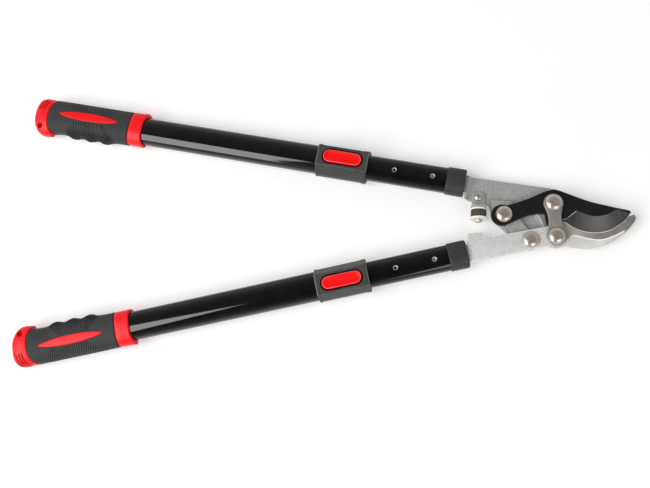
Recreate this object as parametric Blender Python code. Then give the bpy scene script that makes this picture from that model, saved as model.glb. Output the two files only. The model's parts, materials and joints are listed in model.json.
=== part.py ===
"""A telescopic bypass lopper with a compound head, lying flat with its blades towards +X.

Lengths are in millimetres until make_object scales them to metres. The head's linkage is drawn in the layout frame,
whose origin is where the two handle axes cross, 14 mm above the table. Each handle is drawn in its own frame, which
turns about that point: x runs from the grip to the head, and side says which way its inner edge faces.
"""

import math

import bmesh
import bpy
from mathutils import Vector

MM = 0.001
GAP = 0.3

# Layout: the handles' spread and the four pivots of the linkage
HANDLE_TURN = math.radians(11.58)
TAIL_PIVOT = Vector((-152.2, 2.0, 0.0))
JAW_PIVOT = Vector((-100.5, 12.3, 0.0))
LINK_PIVOT = Vector((-99.3, -23.8, 0.0))
FULCRUM = Vector((-125.7, -26.8, 0.0))

# Layers of the head from back to front, as lowest and highest z
UPPER_PLATE_Z = (-6.6, -2.6)
HOOK_Z = (-2.3, 1.7)
BLADE_Z = (2.0, 6.0)
LINK_STRAP_Z = (6.3, 9.3)
TANG_Z = (-2.0, 2.0)

# Pivot bolts and nuts
SHANK_RADIUS = 4.0
HEAD_RADIUS = 8.9
HEAD_HEIGHT = 4.7
NUT_RADIUS = 7.5
NUT_HEIGHT = 6.2
BOLT_END_Z = -13.9
TAIL_SLACK = 2.1

# Stations along each handle, from the grip's end to the head
CAP_END = -713.8
COVER_START = -694.5
COVER_END = -591.0
FLANGE_END = -572.5
OUTER_TUBE = (-692.5, -309.0)
SLEEVE = (-362.5, -304.5)
BUTTON = (-354.2, -312.6)
BUTTON_PIN_X = -333.0
LOCK_PIN_X = -317.0
HOLE_PITCH = 42.5
HOLES_TOWARDS_HEAD = 2
HOLES_TOWARDS_GRIP = 5
INNER_TUBE = (-602.0, -198.0)
FERRULE = (-216.5, -195.0)
TANG_END = -250.0
TANG_PIN_X = -206.0
PLATE_START = -194.5
JOGGLE = (-193.5, -188.0)

# Cross sections as half width and half height
OUTER_SECTION = (16.1, 11.0)
INNER_SECTION = (14.25, 9.2)
SLEEVE_SECTION = (18.2, 15.0)
SLEEVE_TOP_HALF_WIDTH = 11.9
FERRULE_SECTION = (15.3, 10.9)
TUBE_WALL = 1.2
TUBE_POWER = 2.6
SLEEVE_LIFT = 1.4
CORE_SECTION = (17.6, 12.2)
CAP_HALF_HEIGHT = 13.4
GRIP_HALF_HEIGHT = 14.0
TANG_HALF_WIDTH = 9.0
TANG_PIN_RADIUS = 2.2

# Lock mechanism. The rocker and the grip's inlays lie a little towards the handle's outer edge, by FACE_Y.
FACE_Y = 1.8
BUTTON_HALF_WIDTH = 6.8
BUTTON_Z = (13.8, 17.6)
BUTTON_PIN_Z = 14.4
BUTTON_PIN_REACH = 10.2
BUTTON_PIN_RADIUS = 1.25
LOCK_PIN_RADIUS = 2.5
SCREW_RADII = (1.2, 2.9)
POCKET_CLEARANCE = 1.2

# Grip details
INLAY_X = (-680.8, -605.6)
INLAY_HALF_WIDTH = 5.2
HANGING_HOLE = (-702.0, 16.8)
HANGING_HOLE_RADIUS = 3.15
CAP_SADDLE = 6.0
FLANGE_SADDLE = 2.0
FINGER_RIDGES = (-671.0, -611.0)
RIDGE_PITCH = 20.0
RIDGE_HEIGHT = 2.3

# The grip's inner edge without its finger ridges, as (x, half width)
GRIP_INNER_EDGE = (
    (-694.5, 22.6),
    (-690.0, 22.0),
    (-685.0, 20.4),
    (-678.0, 19.7),
    (-671.0, 20.0),
    (-665.0, 20.8),
    (-617.0, 20.8),
    (-611.0, 20.0),
    (-604.0, 19.4),
    (-591.0, 19.3),
)

# Buffer between the arms: its rivet in the upper handle's frame, and the rest about the rivet
BUFFER_RIVET = Vector((-179.2, -12.2, 0.0))
BUFFER_TURN = math.radians(9.0)
BUFFER_Z = 5.0
BUFFER_RADIUS = 8.6
BUFFER_WALL_Y = (-14.0, -11.8)

RING_POINTS = 24
ROUND_SIDES = 18


class Frame:
    """An empty on a joint's axis. home is its place in the coordinates that its pieces are drawn in."""

    def __init__(self, name, parent=None, at=(0, 0, 0), home=(0, 0, 0), turn=0.0):
        self.empty = bpy.data.objects.new(name, None)
        bpy.context.scene.collection.objects.link(self.empty)
        self.empty.parent = parent.empty if parent else None
        self.empty.location = Vector(at) * MM
        self.empty.rotation_euler[2] = turn
        self.home = Vector(home)


def clear_scene():
    for item in list(bpy.data.objects):
        bpy.data.objects.remove(item, do_unlink=True)


def finish(name, colour, roughness, metallic):
    """A plain material with the part's own colour, roughness and metallic value."""
    material = bpy.data.materials.get(name)
    if material is None:
        material = bpy.data.materials.new(name)
        material.use_nodes = True
        shader = material.node_tree.nodes["Principled BSDF"]
        shader.inputs["Base Color"].default_value = (*colour, 1.0)
        shader.inputs["Roughness"].default_value = roughness
        shader.inputs["Metallic"].default_value = metallic
    return material


def black_coating():
    return finish("black_coating", (0.02, 0.02, 0.022), 0.35, 0.0)


def nickel():
    return finish("nickel", (0.72, 0.68, 0.62), 0.18, 1.0)


def jaw_steel():
    return finish("jaw_steel", (0.42, 0.40, 0.37), 0.4, 1.0)


def hammer_paint():
    return finish("hammer_paint", (0.55, 0.55, 0.54), 0.35, 0.6)


def zinc():
    return finish("zinc", (0.7, 0.7, 0.68), 0.3, 1.0)


def brass():
    return finish("brass", (0.78, 0.62, 0.3), 0.25, 1.0)


def black_rubber():
    return finish("black_rubber", (0.05, 0.05, 0.052), 0.7, 0.0)


def red_plastic():
    return finish("red_plastic", (0.85, 0.02, 0.025), 0.35, 0.0)


def black_plastic():
    return finish("black_plastic", (0.06, 0.06, 0.062), 0.5, 0.0)


def nylon():
    return finish("nylon", (0.1, 0.1, 0.1), 0.5, 0.0)


def tube_paint():
    return finish("tube_paint", (0.012, 0.012, 0.013), 0.18, 0.0)


def spring_steel():
    return finish("spring_steel", (0.5, 0.5, 0.5), 0.35, 1.0)


def loft(rings, closed=False):
    """Joins rings of equal length with quads. An open run is capped, and a closed one joins its last to its first."""
    body = bmesh.new()
    rows = [[body.verts.new(point) for point in ring] for ring in rings]
    pairs = list(zip(rows, rows[1:]))
    if closed:
        pairs.append((rows[-1], rows[0]))
    else:
        body.faces.new(list(reversed(rows[0])))
        body.faces.new(rows[-1])
    for row, following in pairs:
        for i in range(len(row)):
            j = (i + 1) % len(row)
            body.faces.new((row[i], row[j], following[j], following[i]))
    return body


def prism(outline, low, high):
    """An outline in the XY plane, extruded from low to high."""
    return loft([[(x, y, low) for x, y in outline], [(x, y, high) for x, y in outline]])


def lathe(profile, axis="z", at=(0, 0, 0), sides=ROUND_SIDES, closed=False, turn=0.0):
    """Turns (radius, height) points about an axis through a point."""
    rings = []
    for radius, height in profile:
        ring = []
        for i in range(sides):
            angle = turn + 2 * math.pi * i / sides
            u = radius * math.cos(angle)
            v = radius * math.sin(angle)
            point = {"x": (height, u, v), "y": (u, height, v), "z": (u, v, height)}[axis]
            ring.append(Vector(point) + Vector(at))
        rings.append(ring)
    return loft(rings, closed)


def rod(radius, low, high, axis="z", at=(0, 0, 0), sides=ROUND_SIDES):
    return lathe([(radius, low), (radius, high)], axis, at, sides)


def box(low, high):
    corners = [(low[0], low[1]), (high[0], low[1]), (high[0], high[1]), (low[0], high[1])]
    return prism(corners, low[2], high[2])


def arc(centre, radius, start, end, steps=8):
    """Points on a circle from one angle to another, in degrees."""
    points = []
    for i in range(steps + 1):
        angle = math.radians(start + (end - start) * i / steps)
        points.append((centre[0] + radius * math.cos(angle), centre[1] + radius * math.sin(angle)))
    return points


def rounded(corners, steps=3):
    """An outline in which each corner (x, y, radius) is a fillet and each plain (x, y) stays sharp."""
    outline = []
    for i, corner in enumerate(corners):
        here = Vector(corner[:2])
        radius = corner[2] if len(corner) > 2 else 0.0
        if radius == 0.0:
            outline.append(tuple(here))
            continue
        back = (Vector(corners[i - 1][:2]) - here).normalized()
        ahead = (Vector(corners[(i + 1) % len(corners)][:2]) - here).normalized()
        half = back.angle(ahead) / 2
        centre = here + (back + ahead).normalized() * radius / math.sin(half)
        start = here + back * radius / math.tan(half) - centre
        end = here + ahead * radius / math.tan(half) - centre
        sweep = start.angle_signed(end)
        for step in range(steps + 1):
            angle = math.atan2(start.y, start.x) - sweep * step / steps
            outline.append((centre.x + radius * math.cos(angle), centre.y + radius * math.sin(angle)))
    return outline


def smooth(points, spans=3):
    """A Catmull-Rom curve through the points, with a number of steps in each span."""
    padded = [points[0], *points, points[-1]]
    curve = []
    for a, b, c, d in zip(padded, padded[1:], padded[2:], padded[3:]):
        for step in range(spans):
            t = step / spans
            curve.append(
                tuple(
                    0.5 * (2 * q + (r - p) * t + (2 * p - 5 * q + 4 * r - s) * t * t + (3 * q - p - 3 * r + s) * t**3)
                    for p, q, r, s in zip(a, b, c, d)
                )
            )
    curve.append(tuple(points[-1]))
    return curve


def stadium(start, end, half_width, y, steps=6):
    """A straight-sided outline with round ends along X, on a line at y."""
    right = arc((end - half_width, y), half_width, -90, 90, steps)
    left = arc((start + half_width, y), half_width, 90, 270, steps)
    return right + left


def ring(x, width, height, power=TUBE_POWER, low_width=None, z=0.0, saddle=0.0):
    """A rounded-box ring across the handle. low_width is the half width at negative y, and saddle bows the ring."""
    points = []
    for i in range(RING_POINTS):
        angle = 2 * math.pi * (i + 0.5) / RING_POINTS
        cosine = math.cos(angle)
        sine = math.sin(angle)
        half = width if cosine > 0 or low_width is None else low_width
        y = math.copysign(half * abs(cosine) ** (2 / power), cosine)
        points.append((x + saddle * cosine**2, y, z + math.copysign(height * abs(sine) ** (2 / power), sine)))
    return points


def make_object(name, body, material):
    """Turns a bmesh in millimetres into a named object in metres."""
    bmesh.ops.recalc_face_normals(body, faces=body.faces)
    bmesh.ops.scale(body, vec=(MM, MM, MM), verts=body.verts)
    mesh = bpy.data.meshes.new(name)
    body.to_mesh(mesh)
    body.free()
    mesh.materials.append(material)
    mesh.shade_smooth()
    mesh.set_sharp_from_angle(angle=math.radians(35))
    piece = bpy.data.objects.new(name, mesh)
    bpy.context.scene.collection.objects.link(piece)
    return piece


def add_piece(name, body, material, frame):
    """Hangs a new piece from its frame, so that it lies where it was drawn."""
    piece = make_object(name, body, material)
    piece.parent = frame.empty
    piece.location = -frame.home * MM
    return piece


def combine(piece, body, operation="DIFFERENCE"):
    """Cuts a hidden tool out of a piece, or joins the tool to it."""
    count = len(piece.modifiers) + 1
    tool = make_object(f"{piece.name}_tool_{count}", body, piece.data.materials[0])
    tool.parent = piece.parent
    tool.location = piece.location
    tool.hide_render = True
    tool.display_type = "WIRE"
    modifier = piece.modifiers.new(f"{operation.lower()}_{count}", "BOOLEAN")
    modifier.operation = operation
    modifier.object = tool


def drill(piece, radius, *places, low=-30.0, high=30.0):
    """Cuts round holes along Z at the given places."""
    for place in places:
        combine(piece, rod(radius, low, high, at=(place[0], place[1], 0)))


def joggle(body, rise):
    """Bends a plate so that its head end stands off its tang by rise."""
    for station in JOGGLE:
        geometry = [*body.verts, *body.edges, *body.faces]
        bmesh.ops.bisect_plane(body, geom=geometry, plane_co=(station, 0, 0), plane_no=(1, 0, 0), dist=1e-5)
    for vertex in body.verts:
        share = (vertex.co.x - JOGGLE[0]) / (JOGGLE[1] - JOGGLE[0])
        vertex.co.z += rise * min(max(share, 0.0), 1.0)
    return body


def in_handle(point, side):
    """A layout point in the frame of the upper (side 1) or lower (side -1) handle."""
    cosine = math.cos(HANDLE_TURN)
    sine = side * math.sin(HANDLE_TURN)
    return (point[0] * cosine - point[1] * sine, point[0] * sine + point[1] * cosine)


def bevelled_plate(common, edge, ridge, layer, edge_height):
    """A plate whose edge run slopes from the ridge on its front face down to edge_height above its back face."""
    low, high = layer
    full = common + edge
    top = common + ridge
    return loft(
        [
            [(x, y, low) for x, y in full],
            [(x, y, low + edge_height) for x, y in full],
            [(x, y, high) for x, y in top],
        ]
    )


def dome_bolt(seat, end):
    """A pivot bolt: a plain shank and a low domed head."""
    return lathe(
        [
            (SHANK_RADIUS, end),
            (SHANK_RADIUS, seat),
            (HEAD_RADIUS - 0.5, seat),
            (HEAD_RADIUS, seat + 0.9),
            (HEAD_RADIUS - 0.8, seat + 2.4),
            (HEAD_RADIUS - 2.6, seat + 3.7),
            (HEAD_RADIUS - 5.4, seat + HEAD_HEIGHT - 0.2),
            (HEAD_RADIUS - 7.6, seat + HEAD_HEIGHT),
        ]
    )


def add_bolt(name, pivot, seat, end, frame):
    body = dome_bolt(seat, end)
    bmesh.ops.translate(body, verts=body.verts, vec=pivot)
    add_piece(name, body, nickel(), frame)


def add_nut(name, pivot, frame):
    top = UPPER_PLATE_Z[0] - GAP
    body = lathe(
        [
            (NUT_RADIUS * 0.86, top - NUT_HEIGHT),
            (NUT_RADIUS, top - NUT_HEIGHT + 1.5),
            (NUT_RADIUS, top),
        ],
        sides=6,
    )
    bmesh.ops.translate(body, verts=body.verts, vec=pivot)
    nut = add_piece(name, body, zinc(), frame)
    drill(nut, SHANK_RADIUS + GAP, pivot)


def add_blade(frame):
    tail_end = arc((-154.5, 1.2), 11.4, 62, 300, 12)
    heel = rounded([(-118.0, 1.9), (-109.7, 1.9, 0.8), (-108.2, -10.7, 1.0), (-92.5, -6.8)])[:9]
    arm_below = [(-144.6, -6.6), (-135.6, -2.7), (-127.2, 0.3), *heel]
    edge = smooth([(-89.5, -7.2), (-77.6, -15.4), (-61.5, -19.8), (-44.8, -18.1), (-28.9, -8.7), (-23.3, -2.2)])
    ridge = smooth([(-87.3, -4.0), (-77.0, 4.0), (-60.0, -2.4), (-46.0, -0.8), (-35.5, 4.2), (-24.3, 0.4)])
    spine = [(-22.0, 0.3), (-22.2, 1.7), (-23.2, 2.6), *smooth([(-24.7, 3.2), (-43.6, 8.1), (-65.3, 14.6), (-92.4, 26.4)], 2)]
    arm_above = [(-99.1, 28.4), (-108.7, 25.9), (-125.9, 18.6)]
    common = spine + arm_above + tail_end + arm_below
    body = bevelled_plate(common, edge, ridge, BLADE_Z, 0.5)
    blade = add_piece("cutting_blade", body, black_coating(), frame)
    drill(blade, SHANK_RADIUS + GAP, JAW_PIVOT)
    drill(blade, SHANK_RADIUS + TAIL_SLACK, TAIL_PIVOT)


def add_hook(frame):
    link_boss = arc(LINK_PIVOT, 11.3, 170, 290, 7)
    tip = [(-22.0, -13.5), (-17.9, -8.3), (-15.9, -4.3), (-16.4, -2.0), (-18.3, 0.0), (-22.2, -0.7)]
    inner = smooth([(-31.0, -5.5), (-46.0, -14.0), (-61.5, -16.0), (-77.0, -11.5), (-88.0, -2.0)])
    jaw_boss = arc(JAW_PIVOT, 11.0, -15, 150, 9)
    neck = [(-117.8, 8.0), (-117.3, 3.0), (-113.4, -3.2), (-110.8, -12.0)]
    low = smooth([(-88.9, -32.2), (-80.7, -34.4), (-64.3, -35.8), (-50.2, -32.5), (-39.0, -27.6), (-26.6, -18.6)])
    ridge = smooth([(-87.6, -27.0), (-80.7, -21.4), (-66.0, -25.2), (-52.0, -26.6), (-39.5, -22.6), (-28.9, -17.7)])
    common = tip + inner + jaw_boss + neck + link_boss
    body = bevelled_plate(common, low, ridge, HOOK_Z, 1.0)
    hook = add_piece("hook_jaw", body, jaw_steel(), frame)
    drill(hook, SHANK_RADIUS + GAP, JAW_PIVOT, LINK_PIVOT)


def add_link_strap(frame):
    """A dog bone: two round ends and a waist drawn in by arcs that touch both ends."""
    end_radius = 10.3
    waist = 6.7
    across = LINK_PIVOT - JAW_PIVOT
    half = across.length / 2
    arc_radius = (half**2 + waist**2 - end_radius**2) / (2 * (end_radius - waist))
    touch = math.degrees(math.atan2(waist + arc_radius, half))
    outline = arc((half, 0), end_radius, touch - 180, 180 - touch, 12)
    outline += arc((0, waist + arc_radius), arc_radius, -touch, touch - 180, 6)[1:-1]
    outline += arc((-half, 0), end_radius, touch, 360 - touch, 12)
    outline += arc((0, -waist - arc_radius), arc_radius, 180 - touch, touch, 6)[1:-1]
    angle = math.atan2(across.y, across.x)
    middle = (LINK_PIVOT + JAW_PIVOT) / 2
    turned = []
    for x, y in outline:
        turned_x = middle.x + x * math.cos(angle) - y * math.sin(angle)
        turned_y = middle.y + x * math.sin(angle) + y * math.cos(angle)
        turned.append((turned_x, turned_y))
    strap = add_piece("link_strap", prism(turned, *LINK_STRAP_Z), nickel(), frame)
    drill(strap, SHANK_RADIUS + GAP, JAW_PIVOT, LINK_PIVOT)


def add_upper_plate(frame):
    tail = in_handle(TAIL_PIVOT, 1)
    fulcrum = in_handle(FULCRUM, 1)
    outline = rounded(
        [
            (TANG_END, -TANG_HALF_WIDTH, 2.0),
            (PLATE_START, -TANG_HALF_WIDTH),
            (PLATE_START, -17.0, 2.0),
            (-167.0, -19.0, 4.0),
            *arc(tail, 11.5, 190, 228, 3),
            *arc(fulcrum, 9.0, 228, 355, 7),
            (-101.0, -34.0, 6.0),
            (-99.5, 3.0, 4.0),
            (-104.0, 11.0, 3.0),
            (PLATE_START, TANG_HALF_WIDTH),
            (TANG_END, TANG_HALF_WIDTH, 2.0),
        ]
    )
    body = joggle(prism(outline, *TANG_Z), UPPER_PLATE_Z[0] - TANG_Z[0])
    plate = add_piece("upper_plate", body, hammer_paint(), frame)
    drill(plate, SHANK_RADIUS + GAP, tail, fulcrum)
    drill(plate, 2.0 + GAP, BUFFER_RIVET)
    drill(plate, TANG_PIN_RADIUS + GAP, (TANG_PIN_X, 0))


def add_lower_plate(frame):
    fulcrum = in_handle(FULCRUM, -1)
    link = in_handle(LINK_PIVOT, -1)
    outline = rounded(
        [
            (TANG_END, -TANG_HALF_WIDTH, 2.0),
            (PLATE_START, -TANG_HALF_WIDTH),
            (PLATE_START, -10.9),
            (-112.0, -10.7),
            *arc(link, 9.5, -48, 70, 8),
            (-109.0, 9.6, 2.0),
            (-146.0, 10.9),
            (-179.5, 11.2, 1.0),
            (-173.3, 17.8, 1.5),
            (-191.0, 20.6, 2.0),
            (PLATE_START, TANG_HALF_WIDTH),
            (TANG_END, TANG_HALF_WIDTH, 2.0),
        ]
    )
    body = joggle(prism(outline, *TANG_Z), BLADE_Z[0] - TANG_Z[0])
    plate = add_piece("lower_plate", body, hammer_paint(), frame)
    drill(plate, SHANK_RADIUS + GAP, fulcrum, link)
    drill(plate, TANG_PIN_RADIUS + GAP, (TANG_PIN_X, 0))


def add_spacer_strap(frame):
    outline = rounded(
        [
            (-165.5, 19.5, 3.0),
            (-165.8, -1.5, 8.0),
            (-150.9, -10.1, 6.0),
            (-145.5, -17.5),
            *arc(FULCRUM, 9.0, 205, 385, 9),
            (-127.0, -14.0),
            (-135.5, -2.6),
            (-142.5, 17.2, 3.0),
        ]
    )
    strap = add_piece("spacer_strap", prism(outline, *HOOK_Z), hammer_paint(), frame)
    drill(strap, SHANK_RADIUS + GAP, TAIL_PIVOT, FULCRUM)


def add_buffer(frame):
    """The stop on the upper plate: a riveted bracket, and a rubber between two washers on a screw across the arm."""
    face = UPPER_PLATE_Z[1] + GAP
    far, near = BUFFER_WALL_Y
    bracket = add_piece("buffer_bracket", box((-7.0, far, face), (7.0, 5.6, face + 2.0)), hammer_paint(), frame)
    combine(bracket, box((-8.2, far, face + 0.5), (8.2, near, BUFFER_Z + 6.5)), "UNION")
    drill(bracket, 2.0 + GAP, (0, 0))
    combine(bracket, rod(2.4 + GAP, -20, -5, "y", (0, 0, BUFFER_Z), 12))

    seat = face + 2.0 + GAP
    profile = [(2.0, UPPER_PLATE_Z[0] - 1.6), (2.0, seat), (4.4, seat), (4.6, seat + 0.8), (3.5, seat + 2.2)]
    add_piece("buffer_rivet", lathe([*profile, (1.5, seat + 2.9)], sides=14), nickel(), frame)

    middle = (0, 0, BUFFER_Z)
    for name, start, end, radius, material in (
        ("buffer_washer_inner", far - 0.3, far - 2.5, BUFFER_RADIUS, zinc()),
        ("buffer_rubber", far - 2.8, far - 10.6, BUFFER_RADIUS - 0.2, black_rubber()),
        ("buffer_washer_outer", far - 10.9, far - 12.9, BUFFER_RADIUS + 1.4, zinc()),
    ):
        bore = 2.4 + GAP
        profile = [(bore, start), (radius - 0.6, start), (radius, start - 0.6), (radius, end + 0.6)]
        profile += [(radius - 0.6, end), (bore, end)]
        add_piece(name, lathe(profile, "y", middle, 16, closed=True), material, frame)
    head = far - 13.2
    profile = [(2.4, near + 2.0), (2.4, head), (3.9, head), (3.9, head - 2.0), (2.6, head - 3.2)]
    add_piece("buffer_screw", lathe(profile, "y", middle, 12), brass(), frame)


def tube(outer, inner, stations, power=TUBE_POWER):
    """A straight tube of one wall between two stations."""
    start, end = stations
    return loft(
        [ring(start, *outer, power), ring(end, *outer, power), ring(end, *inner, power), ring(start, *inner, power)],
        closed=True,
    )


def grown(section, amount):
    return (section[0] + amount, section[1] + amount)


def add_inner_tube(prefix, frame):
    body = tube(INNER_SECTION, grown(INNER_SECTION, -TUBE_WALL), INNER_TUBE)
    piece = add_piece(f"{prefix}_inner_tube", body, tube_paint(), frame)
    drill(piece, TANG_PIN_RADIUS + GAP, (TANG_PIN_X, 0))
    for step in range(-HOLES_TOWARDS_GRIP, HOLES_TOWARDS_HEAD + 1):
        combine(piece, rod(LOCK_PIN_RADIUS + GAP, 0, 20, at=(LOCK_PIN_X + step * HOLE_PITCH, 0, 0), sides=12))


def add_tang_fixings(prefix, frame):
    inside = grown(INNER_SECTION, -TUBE_WALL - GAP)
    body = loft([ring(TANG_END - 2.0, *inside), ring(INNER_TUBE[1], *inside)])
    plug = add_piece(f"{prefix}_tang_plug", body, nylon(), frame)
    slot = TANG_HALF_WIDTH + GAP
    combine(plug, box((TANG_END - 5.0, -slot, TANG_Z[0] - GAP), (-190.0, slot, TANG_Z[1] + GAP)))
    drill(plug, TANG_PIN_RADIUS + GAP, (TANG_PIN_X, 0))
    pin = rod(TANG_PIN_RADIUS, -INNER_SECTION[1], INNER_SECTION[1], at=(TANG_PIN_X, 0, 0), sides=12)
    add_piece(f"{prefix}_tang_pin", pin, spring_steel(), frame)


def add_ferrule(prefix, frame):
    start, end = FERRULE
    bore = grown(INNER_SECTION, GAP)
    full = FERRULE_SECTION
    body = loft(
        [
            ring(INNER_TUBE[1] + GAP, *bore),
            ring(start, *bore),
            ring(start, *grown(full, -0.7)),
            ring(start + 1.5, *full),
            ring(end - 1.5, *full),
            ring(end, *grown(full, -1.0)),
        ]
    )
    ferrule = add_piece(f"{prefix}_ferrule", body, black_plastic(), frame)
    slot = TANG_HALF_WIDTH + 2 * GAP
    combine(ferrule, box((-200.0, -slot, TANG_Z[0] - GAP), (-190.0, slot, TANG_Z[1] + GAP)))


def add_end_plug(prefix, frame):
    """Closes the inner tube's far end and keeps it quiet in the outer tube."""
    inside = grown(INNER_SECTION, -TUBE_WALL - GAP)
    start = INNER_TUBE[0]
    rings = [
        ring(start - 3.0, *grown(INNER_SECTION, -0.5)),
        ring(start - GAP, *INNER_SECTION),
        ring(start - GAP, *inside),
        ring(start + 12.0, *inside),
    ]
    add_piece(f"{prefix}_end_plug", loft(rings), nylon(), frame)


def add_outer_tube(prefix, frame):
    body = tube(OUTER_SECTION, grown(OUTER_SECTION, -TUBE_WALL), OUTER_TUBE)
    piece = add_piece(f"{prefix}_outer_tube", body, tube_paint(), frame)
    combine(piece, rod(LOCK_PIN_RADIUS + POCKET_CLEARANCE, 0, 20, at=(LOCK_PIN_X, 0, 0), sides=12))
    combine(piece, rod(SCREW_RADII[0] + GAP, -20, 0, at=(BUTTON_PIN_X, 0, 0), sides=10))


def sleeve_ring(x, side, shrink):
    """The lock sleeve's section: a flat top between sloping flanks, and a rounded underside."""
    half, height = SLEEVE_SECTION
    middle = side * FACE_Y
    top = SLEEVE_LIFT + height
    outline = rounded(
        [
            (middle + SLEEVE_TOP_HALF_WIDTH, top, 1.0),
            (middle - SLEEVE_TOP_HALF_WIDTH, top, 1.0),
            (-half, 3.0, 5.0),
            (-half, -5.0, 5.0),
            (-12.0, SLEEVE_LIFT - height, 5.0),
            (12.0, SLEEVE_LIFT - height, 5.0),
            (half, -5.0, 5.0),
            (half, 3.0, 5.0),
        ],
        2,
    )
    scale = 1 - shrink / half
    return [(x, y * scale, SLEEVE_LIFT + (z - SLEEVE_LIFT) * scale) for y, z in outline]


def add_lock_sleeve(prefix, side, frame):
    start, end = SLEEVE
    rings = []
    for x, shrink in ((start, 0.8), (start + 0.8, 0.0), (end - 0.8, 0.0), (end, 0.8)):
        rings.append(sleeve_ring(x, side, shrink))
    sleeve = add_piece(f"{prefix}_lock_sleeve", loft(rings), black_plastic(), frame)
    lip = grown(INNER_SECTION, GAP + 0.1)
    bore = grown(OUTER_SECTION, GAP)
    combine(sleeve, loft([ring(start - 5.0, *bore), ring(OUTER_TUBE[1] + GAP, *bore)]))
    combine(sleeve, loft([ring(OUTER_TUBE[1], *lip), ring(end + 5.0, *lip)]))
    pocket_half = BUTTON_HALF_WIDTH + POCKET_CLEARANCE
    pocket = stadium(BUTTON[0] - POCKET_CLEARANCE, BUTTON[1] + POCKET_CLEARANCE, pocket_half, side * FACE_Y)
    combine(sleeve, prism(pocket, 5.0, 25.0))
    combine(sleeve, cross_rod(side, BUTTON_PIN_RADIUS + GAP, BUTTON_PIN_REACH + GAP))
    shank, head = SCREW_RADII
    seat = [(shank + GAP, -5.0), (shank + GAP, -12.0), (head + GAP, -12.0), (head + GAP, -20.0)]
    combine(sleeve, lathe(seat, at=(BUTTON_PIN_X, 0, 0), sides=10))

    screw = lathe([(shank, -9.8), (shank, -12.3), (head, -12.3), (head, -13.5)], at=(BUTTON_PIN_X, 0, 0), sides=10)
    add_piece(f"{prefix}_sleeve_screw", screw, zinc(), frame)


def cross_rod(side, radius, reach):
    """A rod across the handle on the rocker's axis."""
    return rod(radius, -reach, reach, "y", (BUTTON_PIN_X, side * FACE_Y, BUTTON_PIN_Z), 10)


def add_release_button(prefix, side, frame):
    low, high = BUTTON_Z
    rings = []
    for z, inset in ((low, 0.3), (low + 0.6, 0.0), (high - 1.1, 0.0), (high - 0.3, 0.6), (high, 1.9)):
        outline = stadium(BUTTON[0] + inset, BUTTON[1] - inset, BUTTON_HALF_WIDTH - inset, side * FACE_Y)
        rings.append([(x, y, z) for x, y in outline])
    button = add_piece(f"{prefix}_release_button", loft(rings), red_plastic(), frame)
    combine(button, cross_rod(side, BUTTON_PIN_RADIUS + GAP, 12.0))
    pin = rod(LOCK_PIN_RADIUS, INNER_SECTION[1] + GAP, low - GAP, at=(LOCK_PIN_X, 0, 0), sides=12)
    add_piece(f"{prefix}_lock_pin", pin, spring_steel(), frame)


def add_button_pin_and_spring(prefix, side, frame):
    add_piece(f"{prefix}_button_pin", cross_rod(side, BUTTON_PIN_RADIUS, BUTTON_PIN_REACH), spring_steel(), frame)
    floor = OUTER_SECTION[1] + GAP
    roof = BUTTON_Z[0] - GAP
    leaf = [(-353.0, floor), (-352.6, floor), (-347.0, roof - 0.5), (-341.4, floor), (-341.0, floor)]
    leaf += [(-341.0, floor + 0.4), (-346.4, roof), (-347.6, roof), (-353.0, floor + 0.4)]
    rings = [[(x, side * FACE_Y + y, z) for x, z in leaf] for y in (-3.0, 3.0)]
    add_piece(f"{prefix}_button_spring", loft(rings), spring_steel(), frame)


def inner_first(wide, narrow, side):
    """Half widths for ring(): the upper handle's inner edge faces -y and the lower handle's faces +y."""
    return {"width": narrow, "low_width": wide} if side > 0 else {"width": wide, "low_width": narrow}


def inlay(side, x_range, half_width, low, high):
    """The long ellipse on the grip's face, slightly towards the outer edge."""
    middle = sum(x_range) / 2
    half_length = (x_range[1] - x_range[0]) / 2
    outline = []
    for i in range(RING_POINTS):
        angle = 2 * math.pi * i / RING_POINTS
        outline.append((middle + half_length * math.cos(angle), side * FACE_Y + half_width * math.sin(angle)))
    return prism(outline, low, high)


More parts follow.
